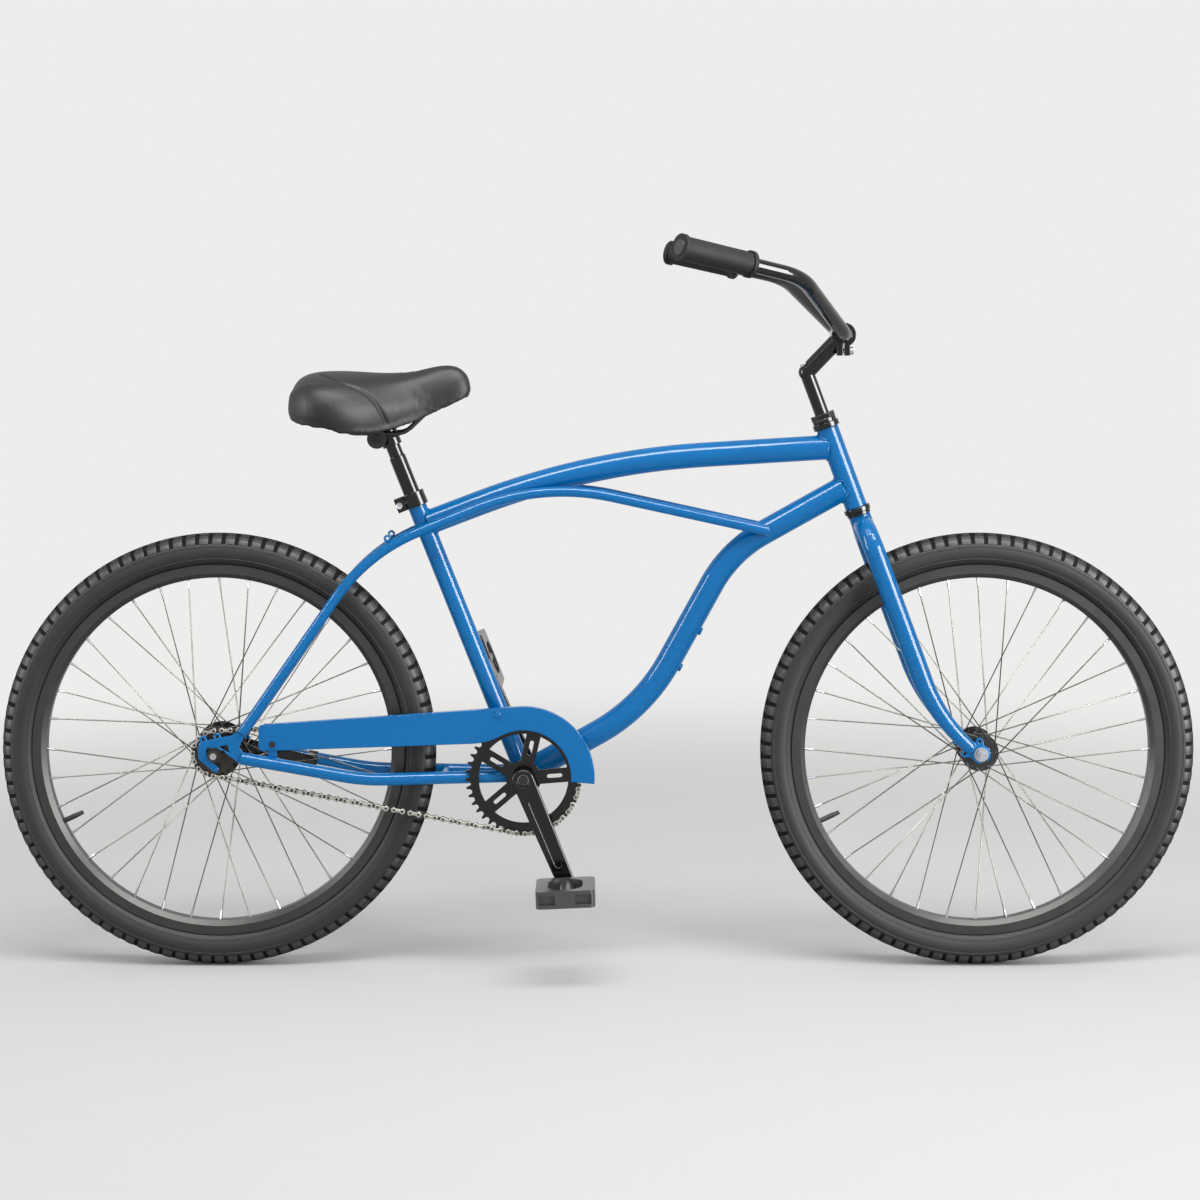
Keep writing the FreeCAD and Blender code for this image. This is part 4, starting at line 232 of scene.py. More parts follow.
# Rolled steel of the chain's outer links: dull warm grey, rubbed bright in places.
CHAIN_STEEL = Finish(
    "rolled_steel_plate", "#B0AEA7", "#918E87", Grain.DRAWN, grain_mm=0.8, relief_mm=0.012, patch_mm=5.0,
    roughness=(0.36, 0.52), metallic=1.0)
# Oiled steel between those links, on the sprocket and on the rear nuts: dark, with brown oil in it; on the
# inner links the dark is also painted shade for their place between the outer plates.
OILED_AND_SHADED_STEEL = Finish(
    "oiled_rolled_steel_with_painted_shade", "#4A4743", "#35312D", Grain.DRAWN, grain_mm=0.8, relief_mm=0.012, patch_mm=4.0,
    roughness=(0.34, 0.50), metallic=1.0)
# Black anodised aluminium, rolled and brushed: soft grey streaks on black.
BLACK_ALLOY = Finish(
    "black_anodised_aluminium", "#333332", "#3F3F3D", Grain.DRAWN, grain_mm=0.7, relief_mm=0.008,
    patch_mm=40.0, roughness=(0.34, 0.46), metallic=0.55)
# Black powder coat on steel tube and forgings: satin, with a fine even orange peel.
BLACK_STEEL = Finish(
    "black_powder_coat_on_steel", "#121213", "#1A1A1C", Grain.PEEL, grain_mm=1.2, relief_mm=0.020,
    patch_mm=50.0, roughness=(0.30, 0.40), coat=0.2, coat_roughness=0.15, specular=0.4)
# Black-plated drawn wire: thin grey lines with a glint along one side.
SPOKE_STEEL = Finish(
    "black_plated_drawn_wire", "#66655F", "#77756F", Grain.DRAWN, grain_mm=0.8, relief_mm=0.004,
    patch_mm=15.0, roughness=(0.30, 0.40), metallic=0.9)
# Vulcanised tyre rubber: charcoal with a dusty bloom and the mould's fine tooth.
TYRE_RUBBER = Finish(
    "vulcanised_tyre_rubber", "#1B1D1D", "#252827", Grain.SPARK, grain_mm=0.9, relief_mm=0.05,
    patch_mm=30.0, roughness=(0.52, 0.68), specular=0.3, sheen=0.03)
# The same rubber on the tread's blocks: paler where the mould's gloss is rubbed off, and paler still as
# painted light on the lit lug tops.
SCUFFED_AND_LIT_TREAD_RUBBER = Finish(
    "scuffed_and_lit_tread_rubber", "#2A2C2B", "#363837", Grain.SPARK, grain_mm=0.7, relief_mm=0.06, patch_mm=12.0,
    roughness=(0.46, 0.62), specular=0.4, sheen=0.03)
# The same rubber in the grooves between them, painted near black and dull: a painted shade for the grooves,
# where little light gets in or out.
GROOVE_SHADE_RUBBER = Finish(
    "groove_painted_shade_rubber", "#0B0C0C", "#121313", Grain.SPARK, grain_mm=0.7, relief_mm=0.05, patch_mm=12.0,
    roughness=(0.75, 0.85), specular=0.1)
# Butyl inner tube: plain soft black.
TUBE_RUBBER = Finish(
    "butyl_rubber", "#191919", "#212121", Grain.SPARK, grain_mm=1.2, relief_mm=0.03, patch_mm=25.0,
    roughness=(0.5, 0.6))
# Dense foam grip rubber: matt black with small closed cells.
GRIP_RUBBER = Finish(
    "closed_cell_foam_rubber", "#141516", "#1C1D1E", Grain.PEBBLE, grain_mm=1.1, relief_mm=0.06,
    patch_mm=20.0, roughness=(0.58, 0.72), specular=0.2)
# Glass-filled nylon of the pedals: dark grey, with a satin skin that turns pale when seen along it.
GREY_RESIN = Finish(
    "moulded_glass_filled_nylon", "#3E3E3D", "#4A4A49", Grain.SPARK, grain_mm=0.8, relief_mm=0.012,
    patch_mm=18.0, roughness=(0.24, 0.34))
# Embossed vinyl over foam: black leather grain with a soft shine.
BLACK_VINYL = Finish(
    "embossed_saddle_vinyl", "#131314", "#1C1C1D", Grain.PEBBLE, grain_mm=1.6, relief_mm=0.10,
    patch_mm=35.0, roughness=(0.46, 0.58), specular=0.3)
# Bonded polyester thread: black with a dull silk shine, twisted too finely to draw strand by strand.
BLACK_THREAD = Finish(
    "bonded_polyester_thread", "#1E1E20", "#2A2A2C", Grain.SPARK, grain_mm=0.5, relief_mm=0.02,
    patch_mm=6.0, roughness=(0.45, 0.55))
# Injection moulded polypropylene: plain black with an even spark-eroded skin.
BLACK_PLASTIC = Finish(
    "moulded_polypropylene", "#161617", "#1D1D1E", Grain.SPARK, grain_mm=0.8, relief_mm=0.03, patch_mm=20.0,
    roughness=(0.45, 0.55))


def to_mesh(name: str, shape: BMesh) -> bpy.types.Mesh:
    """Turn a bmesh into a mesh.

    Args:
        name: the mesh's name.
        shape: the bmesh, which is freed.

    Returns:
        The mesh.
    """
    mesh = bpy.data.meshes.new(name)
    shape.to_mesh(mesh)
    shape.free()
    return mesh


def join(shape: BMesh, part: BMesh) -> None:
    """Add one bmesh to another.

    Args:
        shape: the bmesh that grows.
        part: what is added, which is freed.
    """
    mesh = to_mesh("part", part)
    shape.from_mesh(mesh)
    bpy.data.meshes.remove(mesh)


def aligned(place: Vector, along: Vector) -> Matrix:
    """Place a shape with its own Z axis along a line.

    Args:
        place: where its origin goes.
        along: where its Z axis points.

    Returns:
        The placing.
    """
    return Matrix.Translation(place) @ UP.rotation_difference(along).to_matrix().to_4x4()


def turned(shape: BMesh, place: Matrix, length: float, radii: tuple[float, float], sides: int) -> None:
    """Add a round bar or cone.

    Args:
        shape: the bmesh that takes it.
        place: the placing of its middle, with its length along Z.
        length: its length.
        radii: the radius of its lower end and of its upper end.
        sides: how many sides it has.
    """
    bmesh.ops.create_cone(shape, cap_ends=True, segments=sides, radius1=radii[0], radius2=radii[1],
                          depth=length, matrix=place)


def chamfer(shape: BMesh, edges: list[bmesh.types.BMEdge], width: float) -> None:
    """Cut some edges off flat.

    Args:
        shape: the bmesh they belong to.
        edges: the edges.
        width: how far from each edge the cut starts.
    """
    bmesh.ops.bevel(shape, geom=edges, offset=width, segments=1, profile=0.5, affect="EDGES", material=-1)


def wheelwise(turn: float) -> Vector:
    """Give the direction at a turn in a wheel's plane, from the front towards the top."""
    return Vector((math.cos(turn), 0, math.sin(turn)))


def linked(name: str, data: bpy.types.ID) -> bpy.types.Object:
    """Put a new object into the scene.

    Args:
        name: the object's name.
        data: its mesh, curve, light or camera.

    Returns:
        The object.
    """
    made = bpy.data.objects.new(name, data)
    bpy.context.scene.collection.objects.link(made)
    return made


def smooth_line(points: list[Vector], steps: int) -> list[Vector]:
    """Draw one smooth line along control points.

    Args:
        points: the control points.
        steps: how many places are read for each of them.

    Returns:
        Places along the line.
    """
    curve = bpy.data.curves.new("line", "CURVE")
    curve.dimensions = "3D"
    curve.resolution_u = steps
    spline = curve.splines.new("NURBS")
    spline.points.add(len(points) - 1)
    for control, place in zip(spline.points, points):
        control.co = (*place, 1.0)
    spline.order_u = 3
    spline.use_endpoint_u = True
    holder = bpy.data.objects.new("line", curve)
    mesh = bpy.data.meshes.new_from_object(holder)
    places = [vert.co.copy() for vert in mesh.vertices]
    bpy.data.objects.remove(holder)
    bpy.data.curves.remove(curve)
    bpy.data.meshes.remove(mesh)
    return places


def piping(name: str, lines: list[list[Vector]], radius: float, resolution: int = 2,
           closed: bool = False) -> bpy.types.Curve:
    """Draw round wire along some lines.

    Args:
        name: the curve's name.
        lines: the places that each wire runs through.
        radius: the wire's radius.
        resolution: how finely it is rounded.
        closed: whether each line runs back into its start.

    Returns:
        The curve.
    """
    curve = bpy.data.curves.new(name, "CURVE")
    curve.dimensions = "3D"
    curve.bevel_depth = radius
    curve.bevel_resolution = resolution
    curve.use_fill_caps = True
    for line in lines:
        spline = curve.splines.new("POLY")
        spline.use_cyclic_u = closed
        spline.points.add(len(line) - 1)
        for point, place in zip(spline.points, line):
            point.co = (*place, 1.0)
    return curve


def dress(finish: Finish, *nodes: str) -> None:
    """Give carried-over CAD nodes their finish.

    Args:
        finish: the surface they get.
        *nodes: the nodes' names.
    """
    for node in nodes:
        materials = bpy.data.objects[node].data.materials
        materials.clear()
        materials.append(finish.material())
        log.info("%s: %s", node, finish.name)


def skinned(name: str, shape: BMesh) -> bpy.types.Mesh:
    """Turn a finished bmesh into a mesh that is shaded smooth up to its sharp edges.

    Args:
        name: the mesh's name.
        shape: the bmesh, which is freed.

    Returns:
        The mesh.
    """
    bmesh.ops.remove_doubles(shape, verts=shape.verts, dist=MERGE_DISTANCE)
    bmesh.ops.recalc_face_normals(shape, faces=shape.faces)
    for face in shape.faces:
        face.smooth = True
    for edge in shape.edges:
        edge.smooth = len(edge.link_faces) != 2 or edge.calc_face_angle() < SMOOTH_ANGLE
    return to_mesh(name, shape)


def new_piece(name: str, shape: BMesh | bpy.types.Curve, finish: Finish, body: str) -> bpy.types.Object:
    """Turn finished geometry into a piece that rides on a body.

    Args:
        name: the piece's name.
        shape: its curve, or its bmesh, which is freed.
        finish: its surface.
        body: the CAD body it moves with.

    Returns:
        The new object.
    """
    data = skinned(name, shape) if isinstance(shape, BMesh) else shape
    data.materials.append(finish.material())
    piece = linked(name, data)
    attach(piece, body)
    log.info("%s on %s: %s", name, body, finish.name)
    return piece


@dataclass(frozen=True)
class Joint:
    """A welded joint: the piece a tube runs onto, two places on the tube's axis and its radius."""

    onto: str
    foot: tuple[float, float, float]
    aim: tuple[float, float, float]
    radius: float


@dataclass
class Frame:
    """The welded frame, with what is screwed or pressed into it."""

    painted: tuple[str, ...] = (
        "head_tube", "top_tube", "down_tube", "seat_tube", "bottom_bracket_shell", "right_stay", "left_stay",
        "right_chainstay", "left_chainstay", "right_rear_dropout", "left_rear_dropout", "brazed_fittings",
        "chain_guard")
    enamelled: tuple[str, ...] = ("seat_collar", "headset_cups", "coaster_brake_arm")
    plated: tuple[str, ...] = ("headset_bearings", "bottom_bracket_bearings", "bottom_bracket_cups")
    black: tuple[str, ...] = ("frame_screws",)
    joints: tuple[Joint, ...] = (
        Joint("head_tube", (0.3000, 0.0, 0.7949), (0.3530, 0.0, 0.7981), 0.0190),
        Joint("head_tube", (0.3400, 0.0, 0.7153), (0.3835, 0.0, 0.7396), 0.0190),
        Joint("seat_tube", (-0.2150, 0.0, 0.6997), (-0.2601, 0.0, 0.6825), 0.0190),
        Joint("bottom_bracket_shell", (-0.0700, 0.0, 0.3197), (-0.1137, 0.0, 0.2953), 0.0190),
        Joint("bottom_bracket_shell", (-0.1322, 0.0, 0.3417), (-0.1137, 0.0, 0.2953), 0.0143),
        Joint("bottom_bracket_shell", (-0.1535, -0.0265, 0.2951), (-0.1137, -0.0215, 0.2953), 0.0095),
        Joint("bottom_bracket_shell", (-0.1535, 0.0265, 0.2951), (-0.1137, 0.0215, 0.2953), 0.0095))
    bead_radius: float = 0.0022
    bead_steps: int = 72
    collar_lug: float = 0.015
    bolt_radius: float = 0.0048
    bolt_length: float = 0.0050
    bolt_probe: float = 0.0003
    bolt_skin: float = 0.0012
    bolt_sides: int = 24
    bolt_rim_share: float = 0.45
    bolt_socket: float = 0.0010

    def bead_runs(self, joint: Joint) -> list[list[Vector]]:
        """Find where a tube's skin meets the piece it is welded to.

        Args:
            joint: the welded joint.

        Returns:
            The bead's unbroken runs, each a list of places.
        """
        graph = bpy.context.evaluated_depsgraph_get()
        tree = BVHTree.FromObject(bpy.data.objects[joint.onto], graph)
        foot = Vector(joint.foot)
        run = (Vector(joint.aim) - foot).normalized()
        reach = (Vector(joint.aim) - foot).length
        beside = run.orthogonal().normalized() * joint.radius
        runs: list[list[Vector]] = [[]]
        for step in range(self.bead_steps + 1):
            turn = Matrix.Rotation(2 * math.pi * step / self.bead_steps, 3, run)
            hit = tree.ray_cast(foot + turn @ beside, run, reach)[0]
            if hit is not None:
                runs[-1].append(hit)
            elif runs[-1]:
                runs.append([])
        return [places for places in runs if len(places) > 1]

    def build_beads(self) -> None:
        """Lay a bead of weld round each joint of the main tubes."""
        runs = [places for joint in self.joints for places in self.bead_runs(joint)]
        beads = piping("weld_beads", runs, self.bead_radius)
        new_piece("weld_beads", beads, WELD_ENAMEL, "frame")

    def build_collar_bolt(self) -> None:
        """Plate the seat collar bolt's head, with a round socket sunk into it."""
        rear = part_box("seat_collar")[0].x
        places = [vert.co for vert in bpy.data.objects["seat_collar"].data.vertices
                  if vert.co.x < rear + self.collar_lug]
        end = min(place.y for place in places if place.x < rear + self.collar_lug / 2)
        rim = [place for place in places if abs(place.y - end) < self.bolt_probe]
        middle = sum(rim, Vector()) / len(rim) + ACROSS * (self.bolt_length - self.bolt_skin) / 2
        bolt = bmesh.new()
        turned(bolt, aligned(middle, -ACROSS), self.bolt_length + self.bolt_skin,
               (self.bolt_radius, self.bolt_radius), self.bolt_sides)
        bolt.normal_update()
        face = min(bolt.faces, key=lambda item: item.normal.y)
        bmesh.ops.inset_region(bolt, faces=[face], thickness=self.bolt_radius * self.bolt_rim_share)
        bmesh.ops.translate(bolt, verts=face.verts, vec=ACROSS * self.bolt_socket)
        new_piece("collar_bolt_head", bolt, ZINC_PLATE, "frame")

    def build(self) -> None:
        """Dress the frame's nodes, weld its joints and plate the collar's bolt."""
        dress(BLUE_ENAMEL, *self.painted)
        dress(BLACK_ENAMEL, *self.enamelled)
        dress(ZINC_PLATE, *self.plated)
        dress(BLACK_STEEL, *self.black)
        self.build_beads()
        self.build_collar_bolt()


@dataclass
class Fork:
    """The fork with its steerer, races and front axle."""

    painted: tuple[str, ...] = ("fork_steerer", "right_fork_blade", "left_fork_blade")
    plated: tuple[str, ...] = ("front_axle", "front_hub_bearings", "front_axle_nuts")
    enamelled: tuple[str, ...] = ("headset_races",)

    def build(self) -> None:
        """Dress the fork's nodes."""
        dress(BLUE_ENAMEL, *self.painted)
        dress(ZINC_PLATE, *self.plated)
        dress(BLACK_ENAMEL, *self.enamelled)


@dataclass
class Wheel:
    """One wheel: rim, hub and inner tube, with the tyre and spokes that stand for the plain ones."""

    end: str
    flange_diameter: float
    flange_spacing: float
    carcass_share: float = 0.905
    section_sides: int = 40
    ring_steps: int = 180
    rib_radius: float = 0.0007
    rib_angles: tuple[float, ...] = (70.0, 74.0, 118.0, 124.0)
    rib_sides: int = 6
    tread_units: int = 100
    crown_width: float = 0.0085
    crown_sides: int = 12
    lug_length: float = 0.0162
    lug_angles: tuple[float, float] = (29.0, 62.0)
    lug_foot_share: float = 0.1
    bar_length: float = 0.0065
    bar_angles: tuple[float, float] = (13.0, 26.0)
    bar_skew: float = 0.0075
    block_top_share: float = 0.86
    block_edge_share: float = 0.10
    # How far from the crown the carcass is painted darker, as shade in the grooves.
    groove_shade_angle: float = 60.0
    # How far from the crown the blocks keep the darker tyre rubber, as painted shade at the crown.
    crown_shade_angle: float = 43.0
    block_cuts: int = 3
    spokes_per_flange: int = 18
    crossings: int = 3
    spoke_radius: float = 0.001
    hole_inset: float = 0.0045
    flange_thickness: float = 0.0032
    rim_depth: float = 0.0205
    rim_spread: float = 0.002
    nipple_length: float = 0.013
    nipple_radius: float = 0.0021
    nipple_sides: int = 8
    nipple_taper_share: float = 0.8
    valve_length: float = 0.032
    valve_radius: float = 0.0040
    valve_angle: float = 205.0
    valve_sides: int = 16
    cap_share: float = 1 / 3
    cap_radius_shares: tuple[float, float] = (0.95, 0.8)

    def __post_init__(self) -> None:
        """Read the wheel's place and size from its solids."""
        low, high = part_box(self.end + "_tyre")
        self.body = self.end + "_wheel"
        self.axle = (low + high) / 2
        self.radius = (high.z - low.z) / 2
        self.half_width = (high.y - low.y) / 2
        self.section_centre = self.radius - self.half_width
        self.carcass = self.half_width * self.carcass_share
        self.tread_height = self.half_width - self.carcass
        rim_low, rim_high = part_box(self.end + "_rim")
        self.rim_face = (rim_high.z - rim_low.z) / 2 - self.rim_depth

    def ring(self, shape: BMesh, radii: tuple[float, float], sides: int, across: float, out: float) -> None:
        """Spin an oval section into a closed ring round the axle line.

        Args:
            shape: the bmesh being built, with the axle at its origin.
            radii: half the section's height and half its width.
            sides: how many sides the section has.
            across: how far it stands from the wheel's middle plane.
            out: how far it stands from the axle line.
        """
        size = Matrix.Diagonal((radii[0], radii[1], 1.0, 1.0))
        place = Matrix.Translation((0, across, out)) @ Matrix.Rotation(math.pi / 2, 4, "Y") @ size
        section = bmesh.new()
        bmesh.ops.create_circle(section, segments=sides, radius=1.0, matrix=place)
        bmesh.ops.spin(section, geom=section.verts[:] + section.edges[:], cent=(0, 0, 0), axis=ACROSS,
                       angle=2 * math.pi, steps=self.ring_steps, use_merge=True)
        join(shape, section)

    def on_carcass(self, along: float, angle: float, height: float) -> Vector:
        """Find a place on the tyre.

        Args:
            along: distance round the tread from the wheel's top.
            angle: turn round the section from the crown, positive to the left.
            height: how far it stands off the carcass.

        Returns:
            The place, with the axle at the origin.
        """
        reach = self.carcass + height
        out = self.section_centre + reach * math.cos(angle)
        turn = along / self.radius
        return Vector((out * math.sin(turn), reach * math.sin(angle), out * math.cos(turn)))

    def tread_block(self, angles: tuple[float, float], length: float, skew: float, side: int,
                    foot_share: float) -> BMesh:
        """Bend one moulded block over the tyre.

        Args:
            angles: where the block starts and ends round the section, in degrees from the crown.
            length: its length round the tread.
            skew: how far its outer end is swept round the tread.
            side: which side of the crown it stands on, -1 or 1.
            foot_share: the height of its outer end as a share of the tread's height.

        Returns:
            The block, with the axle at the origin.
        """
        cube = 1.0
        block = bmesh.new()
        bmesh.ops.create_cube(block, size=cube)
        crosswise = [edge for edge in block.edges if edge.verts[0].co.y * edge.verts[1].co.y < 0]
        bmesh.ops.subdivide_edges(block, edges=crosswise, cuts=self.block_cuts, use_grid_fill=True)
        shoulders = [edge for edge in block.edges if min(vert.co.z for vert in edge.verts) > 0
                     and edge.verts[0].co.x == edge.verts[1].co.x]
        ridges = [edge for edge in shoulders if len({round(face.normal.z) for face in edge.link_faces}) == 2]
        chamfer(block, ridges, self.block_edge_share)
        start, end = (math.radians(angle) for angle in angles)
        for vert in block.verts:
            share = vert.co.y + cube / 2
            up = vert.co.z + cube / 2
            top = self.tread_height * (1 + (foot_share - 1) * share ** 2)
            narrow = 1 + (self.block_top_share - 1) * up
            along = vert.co.x * length * narrow + skew * vert.co.y
            angle = side * (start + (end - start) * share)
            vert.co = self.on_carcass(along, angle, (top + self.tread_height) * up - self.tread_height)
        return block

    def paint_crown_shade(self, piece: bpy.types.Object, finish: Finish, reach: float) -> None:
        """Give the part of a piece round the tread's crown a second, darker finish, as painted shade.

        Args:
            piece: the tyre or its blocks.
            finish: the darker second finish that paints the shade.
            reach: the angle from the crown, in degrees, as far as it goes.
        """
        piece.data.materials.append(finish.material())
        for face in piece.data.polygons:
            spot = face.center - self.axle
            out = math.hypot(spot.x, spot.z) - self.section_centre
            face.material_index = int(math.atan2(abs(spot.y), out) < math.radians(reach))

    def build_tyre(self) -> None:
        """Mould the tyre: carcass, sidewall lines, crown rib and the blocks at each shoulder."""
        shape = bmesh.new()
        self.ring(shape, (self.carcass, self.carcass), self.section_sides, 0.0, self.section_centre)
        for angle in self.rib_angles:
            for side in SIDES:
                foot = self.on_carcass(0.0, side * math.radians(angle), 0.0)
                self.ring(shape, (self.rib_radius, self.rib_radius), self.rib_sides, foot.y, foot.z)
        self.ring(shape, (self.tread_height, self.crown_width / 2), self.crown_sides, 0.0,
                  self.radius - self.tread_height)
        unit = bmesh.new()
        for side in SIDES:
            join(unit, self.tread_block(self.lug_angles, self.lug_length, 0.0, side, self.lug_foot_share))
            for skew in (-self.bar_skew, self.bar_skew):
                join(unit, self.tread_block(self.bar_angles, self.bar_length, skew, side, 1.0))
        turn = 2 * math.pi * (self.tread_units - 1) / self.tread_units
        bmesh.ops.spin(unit, geom=unit.verts[:] + unit.edges[:] + unit.faces[:], cent=(0, 0, 0), axis=ACROSS,
                       angle=turn, steps=self.tread_units - 1, use_duplicate=True)
        for piece in (shape, unit):
            bmesh.ops.translate(piece, verts=piece.verts, vec=self.axle)
        tyre = new_piece(self.end + "_moulded_tyre", shape, TYRE_RUBBER, self.body)
        # The carcass round the crown, between the blocks, gets the darker rubber: painted shade for the
        # grooves.
        self.paint_crown_shade(tyre, GROOVE_SHADE_RUBBER, self.groove_shade_angle)
        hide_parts(self.end + "_tyre")
        blocks = new_piece(self.end + "_tread_blocks", unit, SCUFFED_AND_LIT_TREAD_RUBBER, self.body)
        # The blocks round the crown keep the darker plain tyre rubber: painted shade at the crown, beside the
        # paler painted light on the shoulder blocks.
        self.paint_crown_shade(blocks, TYRE_RUBBER, self.crown_shade_angle)

    def spoke_lines(self) -> list[list[Vector]]:
        """Work out where each spoke runs.

        Returns:
            For each spoke its head behind the flange, its elbow in front of it and its end at the rim.
        """
        hole = self.flange_diameter / 2 - self.hole_inset
        step = 2 * math.pi / self.spokes_per_flange
        off = self.flange_thickness / 2 + self.spoke_radius
        lines = []
        for side in SIDES:
            for index in range(self.spokes_per_flange):
                lean = 1 if index % 2 else -1
                hub_turn = step * (index + (side + 1) / 4)
                rim_turn = hub_turn + lean * step * self.crossings
                foot = wheelwise(hub_turn) * hole
                face = side * self.flange_spacing / 2
                end = wheelwise(rim_turn) * self.rim_face
                heights = (face - side * lean * off, face + side * lean * off)
                lines.append([self.axle + foot + ACROSS * height for height in heights]
                             + [self.axle + end + ACROSS * (side * self.rim_spread)])
        return lines

    def build_spokes(self) -> None:
        """Draw the round spokes with their elbows, and turn a nipple for each."""
        lines = self.spoke_lines()
        radii = (self.nipple_radius * self.nipple_taper_share, self.nipple_radius)
        nipples = bmesh.new()
        for line in lines:
            run = (line[-1] - line[-2]).normalized()
            middle = line[-1] - run * (self.nipple_length / 2)
            turned(nipples, aligned(middle, run), self.nipple_length, radii, self.nipple_sides)
        wires = piping(self.end + "_drawn_spokes", lines, self.spoke_radius, resolution=1)
        spokes = new_piece(self.end + "_drawn_spokes", wires, SPOKE_STEEL, self.body)
        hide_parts(self.end + "_spokes")
        new_piece(self.end + "_nipples", nipples, ZINC_PLATE, self.body)

    def build_valve(self) -> None:
        """Turn the tyre valve and its tapered cap, standing in from the rim."""
        shape = bmesh.new()
        inward = -wheelwise(math.radians(self.valve_angle))
        foot = self.axle - inward * self.rim_face
        cap = self.valve_length * self.cap_share
        for length, shares in ((self.valve_length - cap, (1.0, 1.0)), (cap, self.cap_radius_shares)):
            radii = (self.valve_radius * shares[0], self.valve_radius * shares[1])
            turned(shape, aligned(foot + inward * (length / 2), inward), length, radii, self.valve_sides)
            foot = foot + inward * length
        new_piece(self.end + "_valve", shape, TUBE_RUBBER, self.body)

    def build(self) -> None:
        """Dress the wheel's nodes and build its own pieces."""
        dress(BLACK_ALLOY, self.end + "_rim")
        dress(BLACK_STEEL, self.end + "_hub")
        dress(TUBE_RUBBER, self.end + "_inner_tube")
        self.build_tyre()
        self.build_spokes()
        self.build_valve()


